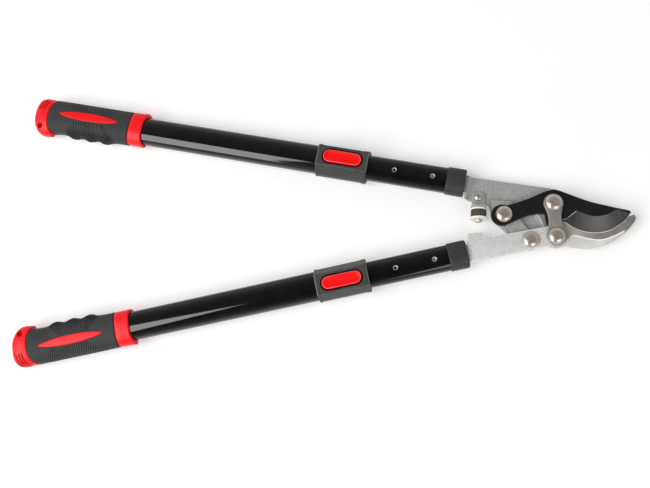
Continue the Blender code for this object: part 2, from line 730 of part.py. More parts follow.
def add_grip_core(prefix, side, frame):
    """The red moulding: a closed end cap, a thin wall under the rubber, the inlays and the flange."""
    bore = grown(OUTER_SECTION, GAP)
    rings = []
    for offset, outer, inner, drop in (
        (0.0, 9.0, 9.5, 6.2),
        (1.6, 14.3, 14.6, 3.0),
        (4.5, 18.4, 19.6, 1.0),
        (9.5, 20.4, 24.4, 0.0),
        (16.5, 20.4, 25.9, 0.0),
    ):
        rings.append(ring(CAP_END + offset, height=CAP_HALF_HEIGHT - drop, **inner_first(inner, outer, side)))
    for back, outer, inner, drop in ((1.5, 20.0, 24.6, 0.0), (GAP, 19.4, 23.8, 0.6)):
        widths = inner_first(inner, outer, side)
        rings.append(ring(COVER_START - back, height=CAP_HALF_HEIGHT - drop, saddle=CAP_SADDLE, **widths))
    rings.append(ring(COVER_START - GAP, *CORE_SECTION, saddle=CAP_SADDLE))
    rings.append(ring(COVER_END + GAP, *CORE_SECTION))
    for x, outer, inner, height, saddle in (
        (COVER_END + GAP, 19.8, 18.9, 12.9, 0.0),
        (COVER_END + 2.0, 20.6, 19.4, 13.5, 0.0),
        (FLANGE_END - 3.0, 21.2, 19.4, 13.3, FLANGE_SADDLE),
        (FLANGE_END - 2.0, 20.6, 18.8, 12.6, FLANGE_SADDLE),
    ):
        rings.append(ring(x, height=height, saddle=saddle, **inner_first(inner, outer, side)))
    rings += [ring(FLANGE_END - 2.0, *bore, saddle=FLANGE_SADDLE), ring(OUTER_TUBE[0] - GAP, *bore)]
    piece = add_piece(f"{prefix}_grip_core", loft(rings), red_plastic(), frame)
    for low, high in ((CORE_SECTION[1] - 0.5, GRIP_HALF_HEIGHT - 0.2), (0.2 - GRIP_HALF_HEIGHT, 0.5 - CORE_SECTION[1])):
        combine(piece, inlay(side, INLAY_X, INLAY_HALF_WIDTH, low, high), "UNION")
    drill(piece, HANGING_HOLE_RADIUS, (HANGING_HOLE[0], -side * HANGING_HOLE[1]))


def inner_edge(x):
    """Half width of the grip's rubber towards its inner edge at station x, finger ridges included."""
    half = GRIP_INNER_EDGE[-1][1]
    for (start, low), (end, high) in zip(GRIP_INNER_EDGE, GRIP_INNER_EDGE[1:]):
        if start <= x < end:
            half = low + (high - low) * (x - start) / (end - start)
    if FINGER_RIDGES[0] < x < FINGER_RIDGES[1]:
        half += RIDGE_HEIGHT * math.sin(math.pi * (x - FINGER_RIDGES[0]) / RIDGE_PITCH) ** 2
    return half


def add_grip_cover(prefix, side, frame):
    inside = grown(CORE_SECTION, GAP)
    rings = [ring(COVER_START, height=GRIP_HALF_HEIGHT - 0.8, saddle=CAP_SADDLE, **inner_first(21.8, 19.4, side))]
    stations = [COVER_START + 1.5, COVER_START + 6.0, COVER_START + 11.0, COVER_START + 17.0]
    stations += [FINGER_RIDGES[0] + RIDGE_PITCH * step / 4 for step in range(13)]
    stations += [FINGER_RIDGES[1] + 7.0, COVER_END - 2.0]
    for x in stations:
        saddle = CAP_SADDLE * max(0.0, 1 - (x - COVER_START) / 25.0)
        widths = inner_first(inner_edge(x + saddle), 20.2, side)
        rings.append(ring(x, height=GRIP_HALF_HEIGHT, saddle=saddle, **widths))
    rings.append(ring(COVER_END, height=GRIP_HALF_HEIGHT - 0.8, **inner_first(18.6, 19.5, side)))
    rings += [ring(COVER_END, *inside), ring(COVER_START, *inside, saddle=CAP_SADDLE)]
    piece = add_piece(f"{prefix}_grip_cover", loft(rings, closed=True), black_rubber(), frame)
    window = (INLAY_X[0] - GAP, INLAY_X[1] + GAP)
    for low, high in ((5.0, 25.0), (-25.0, -5.0)):
        combine(piece, inlay(side, window, INLAY_HALF_WIDTH + GAP, low, high))


def add_handle(prefix, side, arm):
    """One handle, from its ferrule to its grip. side is 1 on the upper handle and -1 on the lower."""
    handle = Frame(f"{prefix}_handle_axis", arm, -FULCRUM, turn=-side * HANDLE_TURN)
    add_inner_tube(prefix, handle)
    add_tang_fixings(prefix, handle)
    add_ferrule(prefix, handle)
    add_end_plug(prefix, handle)
    outer = Frame(f"{prefix}_outer_axis", handle)
    add_outer_tube(prefix, outer)
    add_lock_sleeve(prefix, side, outer)
    add_button_pin_and_spring(prefix, side, outer)
    add_grip_core(prefix, side, outer)
    add_grip_cover(prefix, side, outer)
    rocker = Vector((BUTTON_PIN_X, 0, BUTTON_PIN_Z))
    add_release_button(prefix, side, Frame(f"{prefix}_rocker_axis", outer, rocker, rocker))
    return handle


def stand_on_origin(root):
    """Moves the whole tool so that the middle of its underside is at the world's origin."""
    bpy.context.view_layer.update()
    points = []
    for item in bpy.data.objects:
        if item.type == "MESH" and not item.hide_render:
            points += [item.matrix_world @ vertex.co for vertex in item.data.vertices]
    low = Vector([min(point[i] for point in points) for i in range(3)])
    high = Vector([max(point[i] for point in points) for i in range(3)])
    root.empty.location -= Vector(((low.x + high.x) / 2, (low.y + high.y) / 2, low.z))


def build():
    clear_scene()
    lopper = Frame("lopper")
    lower_arm = Frame("lower_arm_axis", lopper, FULCRUM, FULCRUM)
    upper_arm = Frame("upper_arm_axis", lopper, FULCRUM, FULCRUM)
    hook = Frame("hook_axis", lower_arm, LINK_PIVOT - FULCRUM, LINK_PIVOT)
    blade = Frame("blade_axis", hook, JAW_PIVOT - LINK_PIVOT, JAW_PIVOT)

    add_blade(blade)
    add_hook(hook)
    add_link_strap(hook)
    add_bolt("jaw_bolt", JAW_PIVOT, LINK_STRAP_Z[1] + GAP, HOOK_Z[0], hook)
    add_bolt("link_bolt", LINK_PIVOT, LINK_STRAP_Z[1] + GAP, HOOK_Z[0], hook)

    add_spacer_strap(upper_arm)
    add_bolt("tail_bolt", TAIL_PIVOT, BLADE_Z[1] + GAP, BOLT_END_Z, upper_arm)
    add_nut("tail_nut", TAIL_PIVOT, upper_arm)
    upper_handle = add_handle("upper", 1, upper_arm)
    add_upper_plate(upper_handle)
    add_buffer(Frame("buffer_axis", upper_handle, BUFFER_RIVET, turn=BUFFER_TURN))

    add_bolt("fulcrum_bolt", FULCRUM, BLADE_Z[1] + GAP, BOLT_END_Z, lower_arm)
    add_nut("fulcrum_nut", FULCRUM, lower_arm)
    lower_handle = add_handle("lower", -1, lower_arm)
    add_lower_plate(lower_handle)

    stand_on_origin(lopper)


build()
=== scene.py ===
"""The looks of a telescopic lopper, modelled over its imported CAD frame.

Pieces are drawn in millimetres, in the layout frame (its origin is where the handle axes cross) or in a
handle's own frame (x runs from the grip to the head), and home is the matrix from there to the row frame.
Every mesh ends up in the row frame's metres, so a material's object coordinates are metres at rest.
"""

import json
import math

import bmesh
import bpy
from mathutils import Matrix, Vector


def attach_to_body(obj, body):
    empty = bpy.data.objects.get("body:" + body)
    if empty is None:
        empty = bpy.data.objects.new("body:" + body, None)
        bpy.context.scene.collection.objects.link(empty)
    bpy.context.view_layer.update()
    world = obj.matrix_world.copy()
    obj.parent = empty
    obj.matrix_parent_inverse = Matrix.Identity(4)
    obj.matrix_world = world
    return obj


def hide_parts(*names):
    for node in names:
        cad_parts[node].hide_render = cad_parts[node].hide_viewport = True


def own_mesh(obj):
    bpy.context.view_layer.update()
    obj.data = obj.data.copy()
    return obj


MM = 0.001
GAP = 0.3

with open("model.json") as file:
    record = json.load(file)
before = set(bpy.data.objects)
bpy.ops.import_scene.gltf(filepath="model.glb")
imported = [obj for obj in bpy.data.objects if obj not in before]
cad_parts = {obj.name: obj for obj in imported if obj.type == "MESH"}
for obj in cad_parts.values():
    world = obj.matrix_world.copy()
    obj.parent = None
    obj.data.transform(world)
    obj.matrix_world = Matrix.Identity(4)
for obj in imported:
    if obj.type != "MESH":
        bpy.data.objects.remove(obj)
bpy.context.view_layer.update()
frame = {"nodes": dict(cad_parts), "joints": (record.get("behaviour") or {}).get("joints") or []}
JOINTS = {joint["name"]: joint for joint in frame["joints"]}

# Layout: the four pivots, the spread of the handles and where the layout frame lies
TAIL_PIVOT = Vector((-152.2, 2.0, 0.0))
JAW_PIVOT = Vector((-100.5, 12.3, 0.0))
LINK_PIVOT = Vector((-99.3, -23.8, 0.0))
FULCRUM = Vector((-125.7, -26.8, 0.0))
HANDLE_TURN = math.atan2(JOINTS["upper_telescope"]["axis"][1], -JOINTS["upper_telescope"]["axis"][0])
ORIGIN = Vector(JOINTS["handle_hinge"]["pos_m"]) - FULCRUM * MM
LAYOUT = Matrix.Translation(ORIGIN) @ Matrix.Scale(MM, 4)
HANDLES = {side: LAYOUT @ Matrix.Rotation(-side * HANDLE_TURN, 4, "Z") for side in (1, -1)}
PREFIX = {1: "upper", -1: "lower"}

# Layers of the head from back to front, as lowest and highest z
UPPER_PLATE_Z = (-6.6, -2.6)
HOOK_Z = (-2.3, 1.7)
BLADE_Z = (2.0, 6.0)
LINK_STRAP_Z = (6.3, 9.3)
TANG_Z = (-2.0, 2.0)

# Pivot bolts and nuts
SHANK_RADIUS = 4.0
BOLT_BORE = SHANK_RADIUS + GAP
HEAD_RADIUS = 8.9
HEAD_HEIGHT = 4.7
NUT_RADIUS = 7.5
NUT_HEIGHT = 6.2
BOLT_END_Z = -13.9
TAIL_SLACK = 2.1

# Stations along each handle
CAP_END = -713.8
COVER_START = -694.5
COVER_END = -591.0
FLANGE_END = -572.5
OUTER_TUBE = (-692.5, -309.0)
SLEEVE = (-362.2, -304.5)
BUTTON = (-355.2, -311.6)
BUTTON_PIN_X = -333.0
LOCK_PIN_X = -317.0
HOLE_PITCH = 42.5
LOCK_HOLES = [LOCK_PIN_X + step * HOLE_PITCH for step in range(-5, 3)]
INNER_TUBE = (-602.0, -198.0)
FERRULE = (-216.5, -196.0)
TANG_END = -250.0
PLATE_START = -194.5
UPPER_JOGGLE = (-193.5, -188.0)
LOWER_JOGGLE = (-199.5, -195.2)

# Cross sections as half width and half height
OUTER_SECTION = (16.1, 11.0)
INNER_SECTION = (14.25, 9.2)
SLEEVE_SECTION = (18.2, 15.0)
SLEEVE_TOP_HALF_WIDTH = 11.9
FERRULE_SECTION = (15.3, 10.9)
CORE_SECTION = (17.6, 12.2)
TUBE_WALL = 1.2
TUBE_POWER = 2.6
SLEEVE_LIFT = 1.4
TANG_HALF_WIDTH = 9.0

# Grips. The inlays and the button lie towards the handle's outer edge by FACE_Y.
FACE_Y = 1.8
GRIP_HALF_HEIGHT = 13.7
GRIP_OUTER_EDGE = 20.2
GRIP_ROUND = 20.5
CAP_SADDLE = 6.0
INLAY_MIDDLE = -643.2
INLAY_HALF_LENGTH = 37.6
INLAY_HALF_WIDTH = 5.1
INLAY_POWER = 1.25
HANGING_HOLE = (-702.0, 16.8)
HANGING_HOLE_RADIUS = 3.4
FINGER_RIDGES = (-671.0, -611.0)
FINGER_PITCH = 20.0
FINGER_HEIGHT = 2.3
RIB_PITCH = 2.1
RIB_RELIEF = (-0.4, 0.12)
INNER_PATCH = (-669.5, -624.5)
INNER_PATCH_REACH = 21.0
OUTER_PATCH = (-677.0, -621.0)
OUTER_PATCH_REACH = 22.0
CAP_GROOVES = (-707.9, -704.3, -700.7)
GROOVE_DEPTH = 1.1
GROOVE_START = {1: 2.0, -1: 5.0}
GROOVE_FADE = {1: (14.5, 17.5), -1: (25.0, 26.0)}

# The end cap as (distance from its end, outer half width, inner half width, half height)
CAP_PROFILE = (
    (0.0, 9.0, 9.5, 7.2), (1.6, 14.3, 14.6, 10.4), (4.5, 18.4, 19.6, 12.4), (9.5, 20.4, 24.4, 13.4),
    (16.5, 20.4, 25.9, 13.4), (23.8, 20.0, 24.6, 13.4),
)

# The grip's inner edge without its finger ridges, as (x, half width)
GRIP_INNER_EDGE = (
    (-694.5, 22.6), (-690.0, 22.0), (-685.0, 20.4), (-678.0, 19.7), (-671.0, 20.0), (-665.0, 20.8),
    (-617.0, 20.8), (-611.0, 20.0), (-604.0, 19.4), (-591.0, 19.3),
)

# The flange as (distance from the cover, outer half width, inner half width, half height, saddle)
FLANGE_PROFILE = (
    (0.3, 19.3, 18.4, 12.6, 0.0),
    (0.6, 19.9, 18.9, 13.1, 0.0),
    (1.3, 20.4, 19.2, 13.4, 0.0),
    (7.0, 20.6, 19.2, 13.2, 0.3),
    (12.5, 20.9, 19.2, 13.1, 1.5),
    (14.8, 21.1, 19.3, 13.25, 2.0),
    (15.7, 21.05, 19.25, 13.2, 2.0),
    (16.3, 20.6, 18.8, 12.8, 2.0),
    (16.5, 20.0, 18.2, 12.3, 2.0),
)

# Lock mechanism
BUTTON_HALF_WIDTH = 7.1
BUTTON_Z = (13.8, 17.6)
BUTTON_PIN_Z = 14.4
BUTTON_PIN_REACH = 10.2
BUTTON_PIN_RADIUS = 1.25
LOCK_HOLE_RADIUS = 2.5 + GAP
POCKET_CLEARANCE = 1.8
SPRING = (-353.0, -341.0)
SPRING_HALF_WIDTH = 3.0
SPRING_THICKNESS = 0.4

# Buffer, about its rivet
BUFFER_RIVET = Vector((-179.2, -12.2, 0.0))
BUFFER_TURN = math.radians(9.0)
BUFFER_Z = 5.0
BUFFER_RADIUS = 8.6
BUFFER_WALL_Y = (-14.0, -11.8)
BUFFER_SCREW_RADIUS = 2.4
RIVET_RADIUS = 2.0
RIVET_HEAD_RADIUS = 4.9

# The blade's bare lip, the step above its ground face, and the middle of that face, where its painted
# highlight is brightest
LIP_WIDTH = 0.5
SHOULDER_WIDTH = 0.7
GROUND_FACE_MIDDLE = Vector((-57.0, -10.0, 5.0))

# The hook: the brightest place on its band, its crest's width, where its jaw gives way to its rough neck, how
# far down the neck's side wall takes a painted highlight, and below what y the boss takes the bevel's painted
# light
JAW_BAND_MIDDLE = Vector((-86.0, -17.0, 1.7))
CREST_WIDTH = 1.2
NECK_END = -108.0
NECK_WALL_FOOT = -13.0
BOSS_FOOT = -31.0

# Points round a plain ring, and round the grip's finer ones
AROUND = 96
GRIP_AROUND = 192


# Materials

def feed(socket, value):
    """Gives an input a value, or joins it to the output that feeds it."""
    if isinstance(value, bpy.types.NodeSocket):
        socket.id_data.links.new(value, socket)
    else:
        socket.default_value = value


def fill(node, **values):
    """Sets a node's inputs, named by their label with underscores, or its properties."""
    for key, value in values.items():
        label = key.replace("_", " ")
        if label in node.inputs:
            feed(node.inputs[label], value)
        else:
            setattr(node, key, value)
    return node


def add(tree, kind, **values):
    return fill(tree.nodes.new(f"ShaderNode{kind}"), **values)


def maths(operation, *terms, kind="Math", output="Value"):
    """An arithmetic node's result. The first term is another node's output."""
    node = add(terms[0].id_data, kind, operation=operation)
    for socket, term in zip(node.inputs, terms):
        feed(socket, term)
    return node.outputs[output]


def noise(place, scale, detail=3.0, roughness=0.5):
    node = add(place.id_data, "TexNoise", Vector=place, Scale=scale, Detail=detail, Roughness=roughness)
    return node.outputs["Fac"]


def spread(value, low, high, start=0.35, end=0.65):
    """Maps the middle of a noise to a range."""
    limits = {"From_Min": start, "From_Max": end, "To_Min": low, "To_Max": high}
    return add(value.id_data, "MapRange", Value=value, **limits).outputs["Result"]


def blend_colours(factor, *colours):
    first, second = [item if hasattr(item, "links") else (*item, 1.0) for item in colours]
    return add(factor.id_data, "Mix", data_type="RGBA", Factor=factor, A=first, B=second).outputs["Result"]


def bump(shader, height, distance):
    """Adds a bump, in metres, on top of whatever bump the shader has."""
    node = add(shader.id_data, "Bump", Strength=1.0, Distance=distance, Height=height)
    for before in shader.inputs["Normal"].links:
        fill(node, Normal=before.from_socket)
    fill(shader, Normal=node.outputs["Normal"])


def recolour(shader, factor, colour):
    """Blends the base colour into another one."""
    base = shader.inputs["Base Color"].links[0].from_socket
    fill(shader, Base_Color=blend_colours(factor, base, colour))


def dusted(shader, place):
    """Sparse specks of dust on gloss."""
    recolour(shader, spread(noise(place, 3500, 2.0), 0.0, 1.0, 0.68, 0.82), grey(0.03))


def pitted(shader, place):
    """The small pits of moulded rubber."""
    bump(shader, spread(noise(place, 900, 2.0), 0.0, 1.0, 0.6, 0.8), 0.02 * MM)


def translucent(shader, _):
    """A little light scattered inside red plastic."""
    fill(shader, Subsurface_Weight=0.06, Subsurface_Radius=(0.004, 0.0006, 0.0005))


def beaded(shader, place):
    """The small shallow cells that hammer paint draws up into."""
    texture = add(place.id_data, "TexNoise", Vector=place, Scale=400.0, Detail=2.0)
    shift = (texture.outputs["Color"], grey(0.0014), place)
    warped = maths("MULTIPLY_ADD", *shift, kind="VectorMath", output="Vector")
    shape = {"feature": "SMOOTH_F1", "Scale": 640.0, "Smoothness": 0.6}
    cells = add(place.id_data, "TexVoronoi", Vector=warped, **shape)
    bump(shader, cells.outputs["Distance"], 0.22 * MM)


def recoloured_about(middle, reach, colour):
    """A blend into another colour about a layout point, full within the first reach in metres and gone beyond
    the second.
    """

    def recolour_near(shader, place):
        away = maths("DISTANCE", place, ORIGIN + middle * MM, kind="VectorMath")
        recolour(shader, spread(away, 1.0, 0.0, *reach), colour)

    return recolour_near


def grey(tone):
    return (tone, tone, tone)


def silver(tone):
    return (tone, tone * 1.01, tone)


def metal(roughness, metallic, cloud=60.0, depth=0.01, **more):
    return {"roughness": roughness, "metallic": metallic, "cloud": cloud, "depth": depth, **more}


# What the finishes of one kind share
RUBBER = dict(roughness=(0.55, 0.7), specular=0.3, cloud=45, grain=2600, depth=0.03, extra=pitted)
RED = dict(roughness=(0.3, 0.42), specular=0.28, cloud=35, grain=1500, depth=0.012, extra=translucent)
CHARCOAL = dict(roughness=(0.42, 0.55), specular=0.38, cloud=80, grain=2200, depth=0.03)
HAMMERED = metal((0.34, 0.46), 0.25, 420, 0.02, grain=1500, extra=beaded)
GROUND = metal((0.36, 0.5), 0.0, 150, 0.014, grain=1100, stretch=(5, 1, 5))

# Every finish: its two colours and its settings
FINISHES = {
    "gloss_black_enamel": (
        grey(0.003), grey(0.006),
        dict(roughness=(0.05, 0.08), specular=0.62, grain=500, depth=0.003, extra=dusted),
    ),
    "soft_rubber": ((0.031, 0.032, 0.034), (0.043, 0.044, 0.046), RUBBER),
    # Ribs painted lighter and grooves painted near black on the same rubber: painted highlight and painted
    # shade
    "rib_rubber_painted_highlight": ((0.07, 0.07, 0.072), (0.092, 0.092, 0.094), RUBBER),
    "groove_rubber_painted_shade": ((0.005, 0.005, 0.006), (0.009, 0.009, 0.01), RUBBER),
    "buffer_rubber": ((0.06, 0.053, 0.048), (0.085, 0.077, 0.07), RUBBER),
    "moulded_red": ((0.91, 0.006, 0.011), (0.96, 0.01, 0.016), RED),
    # Darker red in the cap's grooves: painted shade
    "groove_red_painted_shade": ((0.5, 0.004, 0.008), (0.6, 0.006, 0.01), RED),
    "button_red": ((0.94, 0.003, 0.003), (0.97, 0.006, 0.006), RED),
    # Lighter red on the button's rim: painted highlight
    "button_rim_painted_highlight": ((0.94, 0.09, 0.09), (0.97, 0.13, 0.13), RED | {"roughness": (0.22, 0.32)}),
    "charcoal_plastic": (grey(0.046), grey(0.06), CHARCOAL),
    # Paler charcoal on the sleeve's top edges and end rims: painted highlights
    "charcoal_painted_edge_highlight": (grey(0.08), grey(0.11), CHARCOAL),
    "charcoal_painted_rim_highlight": (grey(0.14), grey(0.19), CHARCOAL),
    "ferrule_plastic": (grey(0.03), grey(0.042), CHARCOAL),
    "hammered_silver": (silver(0.4), silver(0.53), HAMMERED),
    # The same hammer paint made lighter for the lower plate: painted light
    "hammered_silver_painted_lit": (silver(0.68), silver(0.8), HAMMERED),
    # The same hammer paint made darker for the spacer strap: painted shade
    "hammered_strap_painted_shade": (silver(0.4), silver(0.5), HAMMERED),
    # The strap's side faces, browner and darker than its paint: painted shade for the dark gap along its edge
    "strap_edge_painted_shade": ((0.16, 0.135, 0.12), (0.26, 0.225, 0.2), metal((0.4, 0.55), 0.3, 300, 0.02, grain=1200)),
    "non_stick_coating": (grey(0.006), grey(0.01), metal((0.34, 0.46), 0.0, 120, specular=0.34, grain=1800)),
    # The same coating over grinding marks, lighter as painted sheen, with a painted highlight brightest in
    # the middle of the face
    "ground_coating": (
        grey(0.026), grey(0.041),
        metal((0.34, 0.48), 0.32, 90, 0.012, stretch=(6, 1, 6), turn=0.2,
              extra=recoloured_about(GROUND_FACE_MIDDLE, (0.005, 0.026), (0.105, 0.104, 0.102))),
    ),
    "sharpened_steel": ((0.66, 0.65, 0.63), (0.78, 0.77, 0.75), metal((0.32, 0.42), 0.35, depth=0.004)),
    # The band behind the bite, brighter beside the link bolt
    "jaw_band_steel": (
        (0.225, 0.21, 0.195), (0.285, 0.265, 0.245),
        GROUND | {"metallic": 0.2, "extra": recoloured_about(JAW_BAND_MIDDLE, (0.006, 0.032), (0.5, 0.465, 0.43))},
    ),
    "jaw_neck_steel": ((0.24, 0.2, 0.195), (0.31, 0.27, 0.26), GROUND | {"metallic": 0.1}),
    # A darker, more metallic copy of the steel for the tilted tip facet: painted shade
    "jaw_tip_painted_shade": ((0.22, 0.215, 0.21), (0.3, 0.295, 0.29), GROUND | {"metallic": 0.4}),
    # A much paler copy of the steel for the bevel that faces the light: painted light
    "jaw_bevel_painted_lit": ((0.59, 0.58, 0.565), (0.69, 0.68, 0.665), GROUND | {"metallic": 0.2}),
    # Near white along the crest and the neck's side wall: painted highlight
    "crest_painted_highlight": ((0.93, 0.925, 0.91), (0.98, 0.975, 0.96), GROUND | {"roughness": (0.2, 0.3)}),
    "nickel_plate": (
        (0.53, 0.455, 0.395), (0.65, 0.58, 0.52), metal((0.2, 0.27), 0.72, 260, 0.0015, grain=500)
    ),
    "satin_nickel": (
        (0.3, 0.305, 0.29), (0.36, 0.365, 0.35), metal((0.36, 0.44), 0.45, 120, 0.004, stretch=(1, 5, 1))
    ),
    # A brighter steel for the lock holes' lips: painted glint
    "hole_lip_painted_glint": ((0.3, 0.295, 0.285), (0.38, 0.375, 0.36), metal((0.3, 0.45), 0.5, stretch=(1, 8, 8))),
    # Steel washers made near white and barely metallic so they show bright: painted light
    "washer_steel_painted_lit": ((0.88, 0.87, 0.83), (0.96, 0.95, 0.92), metal((0.25, 0.35), 0.1, 350, 0.008)),
    "zinc_plate": ((0.55, 0.55, 0.53), (0.72, 0.72, 0.7), metal((0.2, 0.34), 1.0, 350, 0.008)),
    "yellow_plate": ((0.52, 0.47, 0.33), (0.7, 0.66, 0.5), metal((0.24, 0.36), 0.7, 300, 0.006)),
    "moulded_nylon": ((0.09, 0.09, 0.088), (0.12, 0.12, 0.118), metal((0.4, 0.55), 0.0, 90, 0.015)),
    "sprung_steel": ((0.4, 0.4, 0.39), (0.52, 0.52, 0.5), metal((0.2, 0.32), 1.0, 250, 0.006)),
    "blackened_steel": ((0.02, 0.02, 0.021), (0.035, 0.035, 0.036), metal((0.3, 0.42), 0.5, 250)),
}


def finish(name):
    """The finish of that name, made when a piece first asks for it."""
    material = bpy.data.materials.get(name)
    if material:
        return material
    first, second, settings = FINISHES[name]
    return surface(name, first, second, **settings)


def surface(
    name, first, second, roughness, metallic=0.0, specular=0.5, cloud=60.0, grain=900.0, depth=0.01,
    stretch=(1, 1, 1), turn=0.0, extra=None,
):
    """Two colours that drift into each other, under a fine grain, depth millimetres deep, that changes the
    roughness and the relief. stretch squeezes the grain along an axis, turn rotates it about Z, and extra
    adds more nodes."""
    material = bpy.data.materials.new(name)
    material.use_nodes = True
    tree = material.node_tree
    shader = tree.nodes["Principled BSDF"]
    place = add(tree, "TexCoord").outputs["Object"]
    drift = spread(noise(place, cloud, 4.0, 0.6), 0.0, 1.0)
    mapping = add(tree, "Mapping", Vector=place, Rotation=(0, 0, turn), Scale=stretch)
    fine = noise(mapping.outputs["Vector"], grain, 4.0, 0.6)
    fill(shader, Metallic=metallic, Specular_IOR_Level=specular, Roughness=spread(fine, *roughness))
    fill(shader, Base_Color=blend_colours(drift, first, second))
    bump(shader, fine, depth * MM)
    if extra:
        extra(shader, place)
    return material


# Shapes

def loft(rings, closed=False, indices=None):
    """Joins rings of equal length with quads. An open run is capped, and a closed one joins its last to its
    first. indices gives a material index for each stretch between rings."""
    body = bmesh.new()
    rows = [[body.verts.new(point) for point in ring] for ring in rings]
    pairs = list(zip(rows, rows[1:]))
    if closed:
        pairs.append((rows[-1], rows[0]))
    else:
        body.faces.new(list(reversed(rows[0])))
        body.faces.new(rows[-1])
    for step, (row, following) in enumerate(pairs):
        for i in range(len(row)):
            j = (i + 1) % len(row)
            face = body.faces.new((row[i], row[j], following[j], following[i]))
            if indices:
                face.material_index = indices[step]
    return body


def prism(outline, low, high):
    return loft([[(x, y, low) for x, y in outline], [(x, y, high) for x, y in outline]])


def turns(count, start=0.0):
    """Even angles round a circle, the first one start steps on from zero."""
    return [2 * math.pi * (i + start) / count for i in range(count)]


def lathe(profile, axis="z", at=(0, 0, 0), sides=48, closed=False):
    """Turns (radius, height) points about the z or y axis through a point."""
    rings = []
    for radius, height in profile:
        ring = []
        for angle in turns(sides):
            u = radius * math.cos(angle)
            v = radius * math.sin(angle)
            ring.append(Vector((u, height, v) if axis == "y" else (u, v, height)) + Vector(at))
        rings.append(ring)
    return loft(rings, closed)


def rod(radius, low, high, axis="z", at=(0, 0, 0)):
    return lathe([(radius, low), (radius, high)], axis, at, 32)


def box(low, high):
    corners = [(low[0], low[1]), (high[0], low[1]), (high[0], high[1]), (low[0], high[1])]
    return prism(corners, low[2], high[2])


def arc(centre, radius, start, end, steps=16):
    """Points on a circle from one angle to another, in degrees."""
    points = []
    for i in range(steps + 1):
        angle = math.radians(start + (end - start) * i / steps)
        points.append((centre[0] + radius * math.cos(angle), centre[1] + radius * math.sin(angle)))
    return points


def rounded(corners, steps=8):
    """An outline in which each corner (x, y, radius) is a fillet and each plain (x, y) stays sharp."""
    outline = []
    for i, corner in enumerate(corners):
        here = Vector(corner[:2])
        radius = corner[2] if len(corner) > 2 else 0.0
        if radius == 0.0:
            outline.append(tuple(here))
            continue
        back = (Vector(corners[i - 1][:2]) - here).normalized()
        ahead = (Vector(corners[(i + 1) % len(corners)][:2]) - here).normalized()
        half = back.angle(ahead) / 2
        centre = here + (back + ahead).normalized() * radius / math.sin(half)
        start = here + back * radius / math.tan(half) - centre
        end = here + ahead * radius / math.tan(half) - centre
        sweep = start.angle_signed(end)
        for step in range(steps + 1):
            angle = math.atan2(start.y, start.x) - sweep * step / steps
            outline.append((centre.x + radius * math.cos(angle), centre.y + radius * math.sin(angle)))
    return outline


def smooth(points, spans=8):
    """A Catmull-Rom curve through the points, with a number of steps in each span."""
    padded = [points[0], *points, points[-1]]
    curve = []
    for a, b, c, d in zip(padded, padded[1:], padded[2:], padded[3:]):
        for step in range(spans):
            t = step / spans
            curve.append(tuple(
                q + 0.5 * t * (r - p + t * (2 * p - 5 * q + 4 * r - s + t * (3 * q - p - 3 * r + s)))
                for p, q, r, s in zip(a, b, c, d)
            ))
    curve.append(tuple(points[-1]))
    return curve


def stadium(start, end, half_width, y):
    """A straight-sided outline with round ends along X, on a line at y."""
    right = arc((end - half_width, y), half_width, -90, 90)
    left = arc((start + half_width, y), half_width, 90, 270)
    return right + left


def between(start, end, steps):
    """Points along a straight line, without its end."""
    return [tuple(Vector(start).lerp(Vector(end), step / steps)) for step in range(steps)]


def read_table(table, x):
    """The values of a table's row at x, linear between rows."""
    if x <= table[0][0]:
        return table[0][1:]
    for first, second in zip(table, table[1:]):
        if x < second[0]:
            share = (x - first[0]) / (second[0] - first[0])
            return tuple(a + (b - a) * share for a, b in zip(first[1:], second[1:]))
    return table[-1][1:]


def box_point(angle, width, height):
    """A point of a rounded box, given its half width and half height."""
    cosine = math.cos(angle)
    sine = math.sin(angle)
    y = math.copysign(width * abs(cosine) ** (2 / TUBE_POWER), cosine)
    return y, math.copysign(height * abs(sine) ** (2 / TUBE_POWER), sine)


def ring(x, width, height, saddle=0.0, count=AROUND):
    """A rounded-box ring across the handle. saddle bows it."""
    angles = turns(count, 0.5)
    return [(x + saddle * math.cos(angle) ** 2, *box_point(angle, width, height)) for angle in angles]


def grown(section, amount):
    return (section[0] + amount, section[1] + amount)


def in_handle(point, side):
    """A layout point in the frame of the upper (side 1) or lower (side -1) handle."""
    cosine = math.cos(HANDLE_TURN)
    sine = side * math.sin(HANDLE_TURN)
    return (point[0] * cosine - point[1] * sine, point[0] * sine + point[1] * cosine)


# Pieces

def raw(name, body, home, finishes=()):
    """A mesh object in the row frame's metres, with the finishes of those names."""
    bmesh.ops.recalc_face_normals(body, faces=body.faces)
    mesh = bpy.data.meshes.new(name)
    body.to_mesh(mesh)
    body.free()
    mesh.transform(home)
    for kind in finishes:
        mesh.materials.append(finish(kind))
    thing = bpy.data.objects.new(name, mesh)
    bpy.context.scene.collection.objects.link(thing)
    return thing


